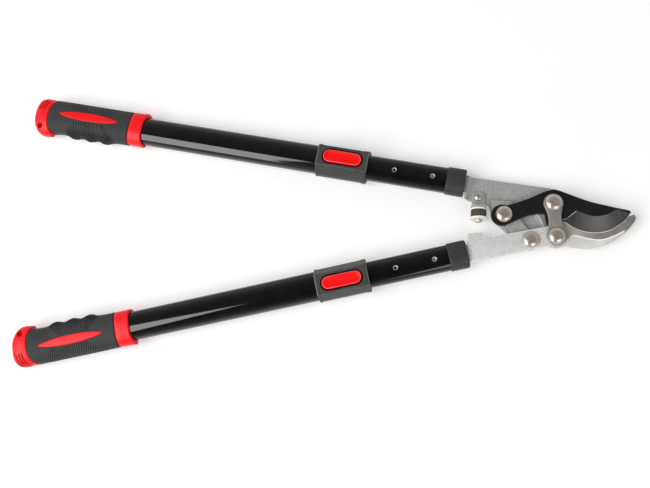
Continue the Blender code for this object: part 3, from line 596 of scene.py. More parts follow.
def solid(name, body, home, finishes, cuts=(), joins=(), bevel=0.0, segments=3, angle=35.0):
    """A finished piece: the body with tools joined to it or cut out of it, and its sharp edges rounded."""
    piece = raw(name, body, home, finishes)
    tools = []
    for operation, bodies in (("UNION", joins), ("DIFFERENCE", cuts)):
        for body_part in bodies:
            tool = raw(f"{name}_tool", body_part, home)
            tools.append(tool)
            modifier = piece.modifiers.new("shape", "BOOLEAN")
            modifier.operation = operation
            modifier.object = tool
    if bevel:
        modifier = piece.modifiers.new("edges", "BEVEL")
        modifier.width = bevel * MM
        modifier.segments = segments
        modifier.limit_method = "ANGLE"
        modifier.angle_limit = math.radians(angle)
    if piece.modifiers:
        bpy.context.view_layer.update()
        graph = bpy.context.evaluated_depsgraph_get()
        mesh = bpy.data.meshes.new_from_object(piece.evaluated_get(graph))
        piece.modifiers.clear()
        piece.data = mesh
    for tool in tools:
        bpy.data.objects.remove(tool)
    piece.data.shade_smooth()
    piece.data.set_sharp_from_angle(angle=math.radians(angle))
    return piece


def attach(piece, body, slot, *nodes):
    """The piece rides on a body and stands for CAD nodes. slot is not used."""
    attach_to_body(piece, body)
    if nodes:
        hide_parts(*nodes)
    return piece


def stand_in(node, shape, home, finishes, body, slot, cuts=(), **shaping):
    """The finished piece that stands for one CAD node."""
    return attach(solid(f"{node}_body", shape, home, finishes, cuts, **shaping), body, slot, node)


def handle_piece(side, node, shape, finishes, body, slot, cuts=(), **shaping):
    """The same for a node that both handles have, called by the name without the handle's."""
    return stand_in(f"{PREFIX[side]}_{node}", shape, HANDLES[side], finishes, body, slot, cuts, **shaping)


def paint(body, choose):
    """Gives every face the material index that choose returns for its middle."""
    for face in body.faces:
        face.material_index = choose(face.calc_center_median())
    return body


def split(body, place, normal):
    """Adds edges where a plane crosses the body."""
    geometry = [*body.verts, *body.edges, *body.faces]
    bmesh.ops.bisect_plane(body, geom=geometry, plane_co=place, plane_no=normal, dist=1e-5)


def holes(radius, *places):
    """Cutting rods through the whole thickness."""
    return [rod(radius, -30, 30, at=(place[0], place[1], 0)) for place in places]


# The head

def bevelled(common, runs, finishes):
    """A plate with one shaped stretch of edge. runs lists that stretch's outlines from the back face to the
    front one, each with its height. finishes gives each strip between them a material index, or a function
    of the column."""
    count = len(common)
    body = bmesh.new()
    rows = [[body.verts.new((x, y, z)) for x, y in common + run] for run, z in runs]
    body.faces.new(list(reversed(rows[0])))
    body.faces.new(rows[-1])
    for index, first, second in zip(finishes, rows, rows[1:]):
        for i in range(len(first)):
            j = (i + 1) % len(first)
            face = body.faces.new((first[i], first[j], second[j], second[i]))
            if i >= count - 1:
                face.material_index = index(i - count) if callable(index) else index
    return body


def toward(points, targets, distance):
    """Points moved a set distance towards their partners."""
    moved = []
    for point, target in zip(points, targets):
        here = Vector(point)
        step = Vector(target) - here
        moved.append(tuple(here + step.normalized() * min(distance, step.length * 0.5)))
    return moved


def make_blade():
    """The black bypass blade, with a ground face that ends in a bare sharpened lip."""
    tail_end = arc((-154.5, 1.2), 11.4, 62, 300, 40)
    heel = rounded([(-118.0, 1.9), (-109.7, 1.9, 0.8), (-108.2, -10.7, 1.0), (-92.5, -6.8)])[:19]
    arm_below = [(-144.6, -6.6), (-135.6, -2.7), (-127.2, 0.3), *heel]
    edge = smooth(
        [(-89.5, -7.2), (-77.6, -15.4), (-61.5, -19.8), (-44.8, -18.1), (-28.9, -8.7), (-23.3, -2.2)]
    )
    shoulder = 8
    ridge = between((-87.3, -4.0), (-77.0, 4.0), shoulder)
    ridge += smooth([(-77.0, 4.0), (-60.0, -2.4), (-46.0, -0.8), (-35.5, 4.2), (-24.3, 0.4)])
    spine = [(-22.0, 0.3), (-22.2, 1.7), (-23.2, 2.6)]
    spine += smooth([(-24.7, 3.2), (-43.6, 8.1), (-65.3, 14.6), (-92.4, 26.4)], 6)
    common = spine + [(-99.1, 28.4), (-108.7, 25.9), (-125.9, 18.6)] + tail_end + arm_below
    low, high = BLADE_Z
    lip = toward(edge, ridge, LIP_WIDTH)
    step = toward(ridge, edge, SHOULDER_WIDTH)
    runs = [(edge, low), (edge, low + 0.3), (lip, low + 0.55), (step, high - 0.45), (ridge, high)]
    ground, bare = 1, 2
    body = bevelled(common, runs, [bare, bare, ground, lambda column: bare if column < shoulder else ground])
    cuts = holes(BOLT_BORE, JAW_PIVOT) + holes(SHANK_RADIUS + TAIL_SLACK, TAIL_PIVOT)
    finishes = ["non_stick_coating", "ground_coating", "sharpened_steel"]
    stand_in("cutting_blade", body, LAYOUT, finishes, "blade", "black_coating", cuts, angle=25)


def make_hook():
    """The counter blade: a dark band, a bevel in painted light under a crest with a painted highlight, a tip
    in painted shade and a rough neck.
    """
    link_boss = arc(LINK_PIVOT, 11.3, 170, 290, 24)
    tip = [(-22.0, -13.5), (-17.9, -8.3, 3.0), (-15.9, -4.3, 2.0), (-17.2, -0.6, 1.2), (-22.2, -0.7)]
    inner = smooth([(-31.0, -5.5), (-46.0, -14.0), (-61.5, -16.0), (-77.0, -11.5), (-88.0, -2.0)])
    jaw_boss = arc(JAW_PIVOT, 11.0, -15, 150, 28)
    neck = smooth([(-117.8, 8.0), (-117.3, 3.0), (-113.4, -3.2), (-110.8, -12.0)], 4)
    low_edge = smooth(
        [(-88.9, -32.2), (-80.7, -34.4), (-64.3, -35.8), (-50.2, -32.5), (-39.0, -27.6), (-26.6, -18.6)]
    )
    ridge = smooth(
        [(-87.6, -27.0), (-80.7, -21.4), (-66.0, -25.2), (-52.0, -26.6), (-39.5, -22.6), (-28.9, -17.7)]
    )
    common = rounded(tip, 5)[:-1] + inner + jaw_boss + neck + link_boss
    low, high = HOOK_Z
    crest = toward(ridge, low_edge, CREST_WIDTH)
    runs = [(low_edge, low), (low_edge, low + 1.0), (crest, high - 0.25), (ridge, high)]
    band, bevel, bright, grey_tip, rough = range(5)
    body = bevelled(common, runs, [band, bevel, bright])
    tip_start = Vector((-28.4, -17.7, 0.0))
    ahead = Vector((0.949, -0.316, 0.0))
    split(body, tip_start, ahead)
    for vertex in body.verts:
        reach = (vertex.co - tip_start).dot(ahead)
        if reach > 0.01 and vertex.co.z > high - 0.01:
            vertex.co.z -= min(0.5, reach * 0.5)
    split(body, (NECK_END, 0, 0), (1, 0, 0))
    split(body, (0, BOSS_FOOT, 0), (0, 1, 0))
    body.normal_update()
    # The tip takes painted shade, the boss below BOSS_FOOT the bevel's painted light, and the neck's side
    # wall the crest's painted highlight
    for face in body.faces:
        middle = face.calc_center_median()
        if (middle - tip_start).dot(ahead) > 0.0:
            face.material_index = grey_tip
        elif middle.x < low_edge[0][0] and middle.y < BOSS_FOOT:
            face.material_index = bevel
        elif middle.x < NECK_END:
            on_neck_wall = abs(face.normal.z) < 0.5 and middle.y > NECK_WALL_FOOT
            face.material_index = bright if on_neck_wall else rough
    cuts = holes(BOLT_BORE, JAW_PIVOT, LINK_PIVOT)
    finishes = ["jaw_band_steel", "jaw_bevel_painted_lit", "crest_painted_highlight", "jaw_tip_painted_shade", "jaw_neck_steel"]
    stand_in("hook_jaw", body, LAYOUT, finishes, "hook", "jaw_steel", cuts, bevel=0.45, segments=2, angle=55)


def make_link_strap():
    """A dog bone: two round ends and a waist drawn in by arcs that touch both ends."""
    end_radius = 10.3
    waist = 6.7
    across = LINK_PIVOT - JAW_PIVOT
    half = across.length / 2
    arc_radius = (half**2 + waist**2 - end_radius**2) / (2 * (end_radius - waist))
    touch = math.degrees(math.atan2(waist + arc_radius, half))
    outline = arc((half, 0), end_radius, touch - 180, 180 - touch, 36)
    outline += arc((0, waist + arc_radius), arc_radius, -touch, touch - 180, 20)[1:-1]
    outline += arc((-half, 0), end_radius, touch, 360 - touch, 36)
    outline += arc((0, -waist - arc_radius), arc_radius, 180 - touch, touch, 20)[1:-1]
    middle = (LINK_PIVOT + JAW_PIVOT) / 2
    home = LAYOUT @ Matrix.Translation(middle) @ Matrix.Rotation(math.atan2(across.y, across.x), 4, "Z")
    cuts = holes(BOLT_BORE, (-half, 0), (half, 0))
    body = prism(outline, *LINK_STRAP_Z)
    stand_in("link_strap", body, home, ["satin_nickel"], "hook", "nickel", cuts, bevel=0.8)


def dome(radius, base, rise, steps, power=1.0):
    """A dome's (radius, height) points, from its rim to just short of its top."""
    angles = [math.pi / 2 * i / steps for i in range(steps)]
    return [(radius * math.cos(angle) ** power, base + rise * math.sin(angle)) for angle in angles]


def make_bolt(node, pivot, seat, end, body):
    """A low domed head on a short rim, over a plain shank with a chamfered end."""
    rim = 0.8
    profile = [(SHANK_RADIUS - 0.6, end), (SHANK_RADIUS, end + 0.6), (SHANK_RADIUS, seat)]
    profile += [(HEAD_RADIUS - 0.3, seat), (HEAD_RADIUS, seat + 0.3)]
    profile += dome(HEAD_RADIUS, seat + rim, HEAD_HEIGHT - rim, 12, 0.9)
    profile.append((0.4, seat + HEAD_HEIGHT))
    stand_in(node, lathe(profile), LAYOUT @ Matrix.Translation(pivot), ["nickel_plate"], body, "nickel")


def make_nut(node, pivot, body):
    """A hexagon nut with chamfered corners and a nylon ring in its collar."""
    top = UPPER_PLATE_Z[0] - GAP
    low = top - NUT_HEIGHT
    wide = NUT_RADIUS + 0.3
    hexagon = lathe([(NUT_RADIUS, low + 2.0), (NUT_RADIUS, top)], sides=6)
    chamfer = [(NUT_RADIUS * 0.84, low + 1.2), (wide, low + 3.2), (wide, top - 0.5)]
    chamfer += [(NUT_RADIUS * 0.95, top + 0.2), (20, top + 0.2), (20, low + 1.2)]
    collar = [(NUT_RADIUS * 0.78, low + 0.6), (NUT_RADIUS * 0.82, low + 1.2), (NUT_RADIUS * 0.82, low + 3.0)]
    collar += [(SHANK_RADIUS + 0.1, low + 3.0), (SHANK_RADIUS + 0.1, low), (NUT_RADIUS * 0.7, low)]
    home = LAYOUT @ Matrix.Translation(pivot)
    cuts = [lathe(chamfer, closed=True), *holes(BOLT_BORE, (0, 0))]
    stand_in(node, hexagon, home, ["zinc_plate"], body, "zinc", cuts, bevel=0.15, segments=2)
    attach(solid(f"{node}_ring", lathe(collar, closed=True), home, ["moulded_nylon"]), body, "nylon")


def make_plate(node, outline, rise, bend, side, finish_name, arm, cuts):
    """A hammered plate whose head end stands off its tang by rise after a bend, with rounded edges."""
    start = [(TANG_END, -TANG_HALF_WIDTH, 2.0), (PLATE_START, -TANG_HALF_WIDTH)]
    end = [(PLATE_START, TANG_HALF_WIDTH), (TANG_END, TANG_HALF_WIDTH, 2.0)]
    body = prism(rounded(start + outline + end), *TANG_Z)
    steps = 8
    for step in range(steps + 1):
        split(body, (bend[0] + (bend[1] - bend[0]) * step / steps, 0, 0), (1, 0, 0))
    for vertex in body.verts:
        vertex.co.z += rise * ramp(vertex.co.x, *bend)
    stand_in(node, body, HANDLES[side], [finish_name], arm, "hammer_paint", cuts, bevel=0.45, angle=50)


def make_upper_plate():
    tail = in_handle(TAIL_PIVOT, 1)
    fulcrum = in_handle(FULCRUM, 1)
    outline = [(PLATE_START, -17.0, 2.0), (-167.0, -19.0, 4.0)]
    outline += arc(tail, 11.5, 190, 228, 8) + arc(fulcrum, 9.0, 228, 355, 20)
    outline += [(-101.0, -34.0, 6.0), (-99.5, 3.0, 4.0), (-104.0, 11.0, 3.0)]
    cuts = holes(BOLT_BORE, tail, fulcrum) + holes(RIVET_RADIUS + GAP, BUFFER_RIVET)
    rise = UPPER_PLATE_Z[0] - TANG_Z[0]
    make_plate("upper_plate", outline, rise, UPPER_JOGGLE, 1, "hammered_silver", "upper_arm", cuts)


def make_lower_plate():
    fulcrum = in_handle(FULCRUM, -1)
    link_pivot = in_handle(LINK_PIVOT, -1)
    outline = [(PLATE_START, -10.9), (-112.0, -10.7), *arc(link_pivot, 9.5, -48, 70, 24), (-109.0, 9.6, 2.0)]
    stop_lug = [(-179.5, 11.2, 1.0), (-173.3, 17.8, 1.5), (-191.0, 20.6, 2.0)]
    outline += [(-146.0, 10.9), *stop_lug]
    cuts = holes(BOLT_BORE, fulcrum, link_pivot)
    rise = BLADE_Z[0] - TANG_Z[0]
    # The lower plate takes the lighter copy of the hammer paint: painted light
    make_plate("lower_plate", outline, rise, LOWER_JOGGLE, -1, "hammered_silver_painted_lit", "lower_arm", cuts)


def make_spacer_strap():
    """The short strap from the tail bolt to the fulcrum bolt, with painted shade on its side faces."""
    outline = [(-165.5, 19.5, 3.0), (-165.8, -1.5, 8.0), (-150.9, -10.1, 6.0), (-145.5, -17.5)]
    outline += [*arc(FULCRUM, 9.0, 205, 385, 30), (-127.0, -14.0), (-135.5, -2.6), (-142.5, 17.2, 3.0)]
    level = sum(HOOK_Z) / 2
    # Index 1 marks the side faces, which take the darker painted shade
    body = paint(prism(rounded(outline), *HOOK_Z), lambda middle: 1 if abs(middle.z - level) < 0.1 else 0)
    cuts = holes(BOLT_BORE, TAIL_PIVOT, FULCRUM)
    finishes = ["hammered_strap_painted_shade", "strap_edge_painted_shade"]
    stand_in("spacer_strap", body, LAYOUT, finishes, "upper_arm", "hammer_paint", cuts, bevel=0.4)


def make_buffer():
    """The stop on the upper plate: a riveted bracket, and a rubber between two washers on a screw."""
    home = HANDLES[1] @ Matrix.Translation(BUFFER_RIVET) @ Matrix.Rotation(BUFFER_TURN, 4, "Z")
    middle = (0, 0, BUFFER_Z)
    bore = BUFFER_SCREW_RADIUS + GAP

    def stop_piece(node, body, kind, slot, cuts=(), **shaping):
        stand_in(f"buffer_{node}", body, home, [kind], "upper_arm", slot, cuts, **shaping)

    face = UPPER_PLATE_Z[1] + GAP
    thickness = 2.0
    far, near = BUFFER_WALL_Y
    base_outline = rounded([(-7.0, far), (7.0, far), (7.0, 5.6, 3.5), (-7.0, 5.6, 3.5)])
    foot, crown = face + 0.5, BUFFER_Z + 6.5
    wall_face = rounded([(-8.2, foot), (8.2, foot), (8.2, crown, 3.0), (-8.2, crown, 3.0)])
    wall = loft([[(x, y, z) for x, z in wall_face] for y in (far, near)])
    base = prism(base_outline, face, face + thickness)
    cuts = holes(RIVET_RADIUS + GAP, (0, 0)) + [rod(bore, -20, -5, "y", middle)]
    stop_piece("bracket", base, "hammered_silver", "hammer_paint", cuts, joins=[wall], bevel=0.35)

    seat = face + thickness + GAP
    back = UPPER_PLATE_Z[0]
    profile = [(RIVET_RADIUS - 0.4, back - 1.6), (RIVET_RADIUS, back - 1.2), (RIVET_RADIUS, seat)]
    profile += [(RIVET_HEAD_RADIUS - 0.2, seat), (RIVET_HEAD_RADIUS, seat + 0.3)]
    profile += dome(RIVET_HEAD_RADIUS, seat + 0.6, 2.3, 9)
    profile.append((0.2, seat + 2.9))
    stop_piece("rivet", lathe(profile, sides=32), "nickel_plate", "nickel")

    for node, start, end, radius, round_off, kind, slot in (
        ("washer_inner", far - 0.6, far - 2.6, BUFFER_RADIUS, 0.5, "washer_steel_painted_lit", "zinc"),
        ("rubber", far - 2.9, far - 10.6, BUFFER_RADIUS - 0.2, 0.8, "buffer_rubber", "black_rubber"),
        ("washer_outer", far - 10.9, far - 12.9, BUFFER_RADIUS + 1.4, 0.5, "washer_steel_painted_lit", "zinc"),
    ):
        shoulder = radius - round_off
        profile = [(bore, start), *arc((shoulder, start - round_off), round_off, 90, 0, 4)]
        profile += [*arc((shoulder, end + round_off), round_off, 0, -90, 4), (bore, end)]
        stop_piece(node, lathe(profile, "y", middle, closed=True), kind, slot)

    head = far - 13.2
    radius = BUFFER_SCREW_RADIUS
    profile = [(radius - 0.3, near + 2.0), (radius, near + 1.6), (radius, head), (3.9, head)]
    profile += [(3.9, head - 1.6), (3.6, head - 2.3), (2.6, head - 2.9), (1.4, head - 3.2)]
    slot_cut = box((-5, head - 4.0, BUFFER_Z - 0.45), (5, head - 2.1, BUFFER_Z + 0.45))
    stop_piece("screw", lathe(profile, "y", middle), "yellow_plate", "brass", [slot_cut])


# The handles

def handle_rings(section, steps):
    """Rings at stations along the handle, each smaller than the section by its own amount."""
    return [ring(x, *grown(section, -shrink)) for x, shrink in steps]


def make_tube(node, side, body, section, stations, cuts):
    start, end = stations
    inside = grown(section, -TUBE_WALL)
    steps = [(start, 0.4), (start + 0.4, 0.0), (start + 1.0, 0.0), (end - 1.0, 0.0), (end - 0.4, 0.0)]
    steps += [(end - 0.1, 0.15), (end, 0.5)]
    rings = handle_rings(section, steps) + [ring(end, *inside), ring(start, *inside)]
    tube = loft(rings, closed=True)
    handle_piece(side, node, tube, ["gloss_black_enamel"], body, "tube_paint", cuts, angle=50)


def make_lock_hole_rims(side, arm):
    """The lip of each lock hole, slightly dished, in a brighter steel as a painted glint."""
    top = INNER_SECTION[1]
    radius = LOCK_HOLE_RADIUS
    profile = [(radius - 1.3, top - 1.2), (radius - 1.2, top - 0.8), (radius - 0.5, top - 0.4)]
    profile += [(radius - 0.02, top - 0.3), (radius - 0.02, top - 1.1)]
    for number, x in enumerate(LOCK_HOLES):
        lip = lathe(profile, at=(x, 0, 0), closed=True)
        rim = solid(f"{PREFIX[side]}_lock_hole_{number}", lip, HANDLES[side], ["hole_lip_painted_glint"])
        attach(rim, arm, "spring_steel")


def make_ferrule(side, arm):
    start, end = FERRULE
    bore = grown(INNER_SECTION, GAP)
    steps = [(start, 0.9), (start + 0.2, 0.45), (start + 0.7, 0.1), (start + 1.4, 0.0), (end - 2.2, 0.0)]
    steps += [(end - 1.2, 0.15), (end - 0.4, 0.6), (end, 1.4)]
    rings = [ring(INNER_TUBE[1] + GAP, *bore), ring(start, *bore)] + handle_rings(FERRULE_SECTION, steps)
    slot_half = TANG_HALF_WIDTH + 2 * GAP
    slot_top = TANG_Z[1] if side > 0 else BLADE_Z[1]
    cut = box((-200.0, -slot_half, TANG_Z[0] - GAP), (-190.0, slot_half, slot_top + GAP))
    handle_piece(side, "ferrule", loft(rings), ["ferrule_plastic"], arm, "black_plastic", [cut], angle=50)


def sleeve_ring(x, side, shrink):
    """The lock sleeve's section: a flat top between sloping flanks, and a rounded underside."""
    half, height = SLEEVE_SECTION
    middle = side * FACE_Y
    top = SLEEVE_LIFT + height
    low = SLEEVE_LIFT - height
    section = [(middle + SLEEVE_TOP_HALF_WIDTH, top, 0.8), (middle - SLEEVE_TOP_HALF_WIDTH, top, 0.8)]
    section += [(-half, 3.0, 4.0), (-half, -5.0, 5.0), (-12.0, low, 5.0)]
    section += [(12.0, low, 5.0), (half, -5.0, 5.0), (half, 3.0, 4.0)]
    scale = 1 - shrink / half
    return [(x, y * scale, SLEEVE_LIFT + (z - SLEEVE_LIFT) * scale) for y, z in rounded(section, 6)]


def make_sleeve(side, outer):
    """The lock sleeve: a flat-topped moulding with a raised band at each end and the button's pocket."""
    start, end = SLEEVE
    steps = [(start, 0.7), (start + 0.3, 0.2), (start + 0.8, 0.0), (start + 2.8, 0.0), (start + 3.1, 0.5)]
    steps += [(end - 5.4, 0.5), (end - 5.1, 0.0), (end - 0.8, 0.0), (end - 0.3, 0.2), (end, 0.7)]
    rings = [sleeve_ring(x, side, shrink) for x, shrink in steps]
    count = len(rings[0])
    lip = grown(INNER_SECTION, GAP + 0.1)
    bore = grown(OUTER_SECTION, GAP)
    for x, section in ((end, lip), (OUTER_TUBE[1] + GAP, lip), (OUTER_TUBE[1] + GAP, bore), (start, bore)):
        rings.append(ring(x, *section, count=count))
    plain, edge, rim = range(3)

    def painted_highlights(middle):
        """The two crisp edges of the flat top and the rims of the end faces are paler: painted highlights."""
        corner = min(abs(middle.y - side * FACE_Y - way * SLEEVE_TOP_HALF_WIDTH) for way in (1, -1))
        on_edge = corner < 0.75 and middle.z > SLEEVE_LIFT + SLEEVE_SECTION[1] - 1.2
        on_rim = min(middle.x - start, end - middle.x) < 0.6 and middle.z > OUTER_SECTION[1] + 1.5
        return rim if on_rim else edge if on_edge else plain

    pocket_half = BUTTON_HALF_WIDTH + POCKET_CLEARANCE
    pocket = stadium(BUTTON[0] - POCKET_CLEARANCE, BUTTON[1] + POCKET_CLEARANCE, pocket_half, side * FACE_Y)
    shank, head = 1.2 + GAP, 2.9 + GAP
    screw_seat = [(shank, -5.0), (shank, -12.0), (head, -12.0), (head, -20.0)]
    cuts = [prism(pocket, 5.0, 25.0), cross_bore(side, BUTTON_PIN_REACH + GAP)]
    cuts.append(lathe(screw_seat, at=(BUTTON_PIN_X, 0, 0)))
    body = paint(loft(rings, closed=True), painted_highlights)
    finishes = ["charcoal_plastic", "charcoal_painted_edge_highlight", "charcoal_painted_rim_highlight"]
    handle_piece(side, "lock_sleeve", body, finishes, outer, "black_plastic", cuts, angle=25)


def cross_bore(side, reach):
    """The tool that makes room for the rocker's pin."""
    return rod(BUTTON_PIN_RADIUS + GAP, -reach, reach, "y", (BUTTON_PIN_X, side * FACE_Y, BUTTON_PIN_Z))


def make_button(side, button):
    """The rocker: a stadium with a rounded rim in lighter red as a painted highlight, and a shallow dish for
    the thumb.
    """
    low, high = BUTTON_Z
    steps = [(low, 0.3), (low + 0.4, 0.0), (high - 1.2, 0.0), (high - 0.7, 0.12), (high - 0.3, 0.35)]
    steps += [(high - 0.05, 0.7), (high, 1.1), (high - 0.1, 1.5), (high - 0.45, 3.2), (high - 0.6, 5.4)]
    rings = []
    for z, inset in steps:
        outline = stadium(BUTTON[0] + inset, BUTTON[1] - inset, BUTTON_HALF_WIDTH - inset, side * FACE_Y)
        rings.append([(x, y, z) for x, y in outline])
    body = loft(rings, indices=[0, 0, 0, 0, 1, 1, 0, 0, 0])
    cuts = [cross_bore(side, BUTTON_HALF_WIDTH + 5.0)]
    handle_piece(side, "release_button", body, ["button_red", "button_rim_painted_highlight"], button, "red_plastic", cuts)


def make_button_spring(side, outer):
    """The bent leaf under the rocker's free end."""
    floor = OUTER_SECTION[1] + GAP
    rise = BUTTON_Z[0] - GAP - floor - SPRING_THICKNESS
    start, end = SPRING
    steps = 24
    under = []
    for i in range(steps + 1):
        lift = rise * (0.5 - 0.5 * math.cos(2 * math.pi * i / steps))
        under.append((start + (end - start) * i / steps, floor + lift))
    leaf_profile = under + [(x, z + SPRING_THICKNESS) for x, z in reversed(under)]
    edges = (side * FACE_Y - SPRING_HALF_WIDTH, side * FACE_Y + SPRING_HALF_WIDTH)
    body = loft([[(x, y, z) for x, z in leaf_profile] for y in edges])
    piece = handle_piece(side, "button_spring", body, ["sprung_steel"], outer, "spring_steel")
    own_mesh(piece)


def grip_point(x, angle, inner, outer, height, side, saddle):
    """A point of the rounded-box section, its unit outward lean and its distance towards the inner edge,
    which lies at negative y on the upper handle. inner and outer are the section's half widths."""
    half = inner if math.cos(angle) > 0 else outer
    across, up = box_point(angle, half, height)
    lean = Vector((0.0, -side * across / half**2, up / height**2)).normalized()
    return Vector((x + saddle * math.cos(angle) ** 2, -side * across, up)), lean, across


def inlay_reach(x, margin):
    """Half width of the inlay's leaf shape at station x, grown by margin."""
    share = (x - INLAY_MIDDLE) / (INLAY_HALF_LENGTH + margin)
    if abs(share) >= 1:
        return 0.0
    return (INLAY_HALF_WIDTH + margin) * (1 - share * share) ** (INLAY_POWER / 2)


def ramp(value, start, end):
    """0 before start, 1 after end, smooth between."""
    t = min(max((value - start) / (end - start), 0.0), 1.0)
    return t * t * (3 - 2 * t)


def rib_pattern(x, across):
    """How far inside a ribbed patch a point is, from 0 to 1, and where it lies from a groove, 0, to a rib, 1.
    across is positive towards the inner edge."""
    reach = abs(across)
    if across > 0:
        slope = 18.0 / INNER_PATCH_REACH
        left = INNER_PATCH[0] + 20.0 * max(0.0, 1 - reach / INNER_PATCH_REACH) ** 1.4
        right = INNER_PATCH[1] + slope * reach
        inlay_edge = inlay_reach(x, 1.6) - FACE_Y
        slanted = right - x < 5.0
        phase = (x - slope * reach) * 0.76 if slanted else x - 0.205 * reach
    else:
        left = OUTER_PATCH[0] + 17.0 * max(0.0, 1 - reach / OUTER_PATCH_REACH) ** 0.9
        right = OUTER_PATCH[1] + 18.5 * max(0.0, (reach - 9.0) / 13.0)
        inlay_edge = inlay_reach(x, 1.8) + FACE_Y + 0.4
        phase = x + 0.5 * reach
    edge = min(x - left, right - x, (reach - inlay_edge) * 1.2)
    wave = 0.5 + 0.5 * math.cos(2 * math.pi * phase / RIB_PITCH)
    return ramp(edge, 0.0, 0.5), wave


def rib_relief(x, across):
    inside, wave = rib_pattern(x, across)
    low, high = RIB_RELIEF
    return inside * (low + (high - low) * ramp(wave, 0.15, 0.75))


def finger_swell(x):
    start, end = FINGER_RIDGES
    if not start < x < end:
        return 0.0
    return FINGER_HEIGHT * math.sin(math.pi * (x - start) / FINGER_PITCH) ** 2


def cover_ring(x, side, shrink=0.0):
    """One ring of the grip's rubber, with finger ridges and ribbed patches. shrink rounds the ends."""
    saddle = CAP_SADDLE * max(0.0, 1 - (x - COVER_START) / 25.0)
    points = []
    for angle in turns(GRIP_AROUND, 0.5):
        bowed = x + saddle * math.cos(angle) ** 2
        inner = read_table(GRIP_INNER_EDGE, bowed)[0] + finger_swell(bowed) - shrink
        height = GRIP_HALF_HEIGHT - shrink
        point, lean, across = grip_point(x, angle, inner, GRIP_OUTER_EDGE - shrink, height, side, saddle)
        points.append(point + lean * rib_relief(bowed, across))
    return points


def make_grip_cover(side, outer):
    inside = grown(CORE_SECTION, GAP)
    step = RIB_PITCH / 6
    count = int((COVER_END - COVER_START - 2.0) / step)
    first = COVER_START + 1.0
    rings = [cover_ring(COVER_START, side, 0.9), cover_ring(COVER_START + 0.35, side, 0.35)]
    rings += [cover_ring(first + step * i, side) for i in range(count + 1)]
    rings += [cover_ring(COVER_END - 0.35, side, 0.35), cover_ring(COVER_END, side, 0.9)]
    for x, saddle in ((COVER_END, 0.0), (COVER_START, CAP_SADDLE)):
        bore = ring(x, *inside, saddle=saddle, count=GRIP_AROUND)
        rings.append([(px, -side * py, pz) for px, py, pz in bore])
    plain, rib, groove = range(3)

    # Rib crests take a painted highlight and the grooves painted shade
    def tone(middle):
        inside_patch, wave = rib_pattern(middle.x, -side * middle.y)
        if inside_patch < 0.5:
            return plain
        return rib if wave > 0.6 + 0.36 * ramp(-side * middle.y, 11.0, 18.0) else groove

    window = leaf_outline(side, INLAY_HALF_LENGTH + GAP, INLAY_HALF_WIDTH + GAP)
    cuts = [prism(window, 5.0, 25.0), prism(window, -25.0, -5.0)]
    body = paint(loft(rings, closed=True), tone)
    finishes = ["soft_rubber", "rib_rubber_painted_highlight", "groove_rubber_painted_shade"]
    handle_piece(side, "grip_cover", body, finishes, outer, "black_rubber", cuts)


def leaf_outline(side, half_length, half_width):
    """The inlay's outline: an ellipse whose sine is drawn in near its zeros, so that its ends are pointed."""
    outline = []
    for angle in turns(AROUND):
        sine = math.sin(angle)
        leaf = math.copysign(abs(sine) ** INLAY_POWER, sine)
        outline.append((INLAY_MIDDLE + half_length * math.cos(angle), side * FACE_Y + half_width * leaf))
    return outline


def make_inlays(side, outer):
    """The two long leaves, crowned to follow the grip's faces."""
    steps = [(1.0, 1.9), (1.0, 0.35), (0.985, 0.15), (0.95, 0.03), (0.85, 0.0), (0.6, -0.03), (0.3, -0.05)]
    steps.append((0.02, -0.05))
    for face, label in ((1, "front"), (-1, "back")):
        rings = []
        for share, drop in steps:
            half_length = INLAY_HALF_LENGTH * share - 0.4 * (1 - share)
            points = []
            for x, y in leaf_outline(side, half_length, INLAY_HALF_WIDTH * share):
                rise = GRIP_HALF_HEIGHT * (1 - abs(y / GRIP_ROUND) ** TUBE_POWER) ** (1 / TUBE_POWER)
                points.append((x, y, face * (rise - drop)))
            rings.append(points)
        piece = solid(f"{PREFIX[side]}_grip_inlay_{label}", loft(rings), HANDLES[side], ["moulded_red"])
        attach(piece, outer, "red_plastic")


def groove_depth(x, across, side):
    """Three short grooves that wrap round the cap's outer side, bowed as its end is."""
    station = x - CAP_SADDLE * (across / 25.0) ** 2
    start = GROOVE_START[side]
    ends = ramp(-across, start, start + 3.0) * (1 - ramp(-across, *GROOVE_FADE[side]))
    return max(GROOVE_DEPTH * ends * (1 - ramp(abs(station - groove), 0.3, 1.0)) for groove in CAP_GROOVES)


def core_ring(side, x, outer, inner, height, saddle=0.0):
    points = []
    for angle in turns(GRIP_AROUND, 0.5):
        point, lean, across = grip_point(x, angle, inner, outer, height, side, saddle)
        points.append(point - lean * groove_depth(point.x, across, side))
    return points


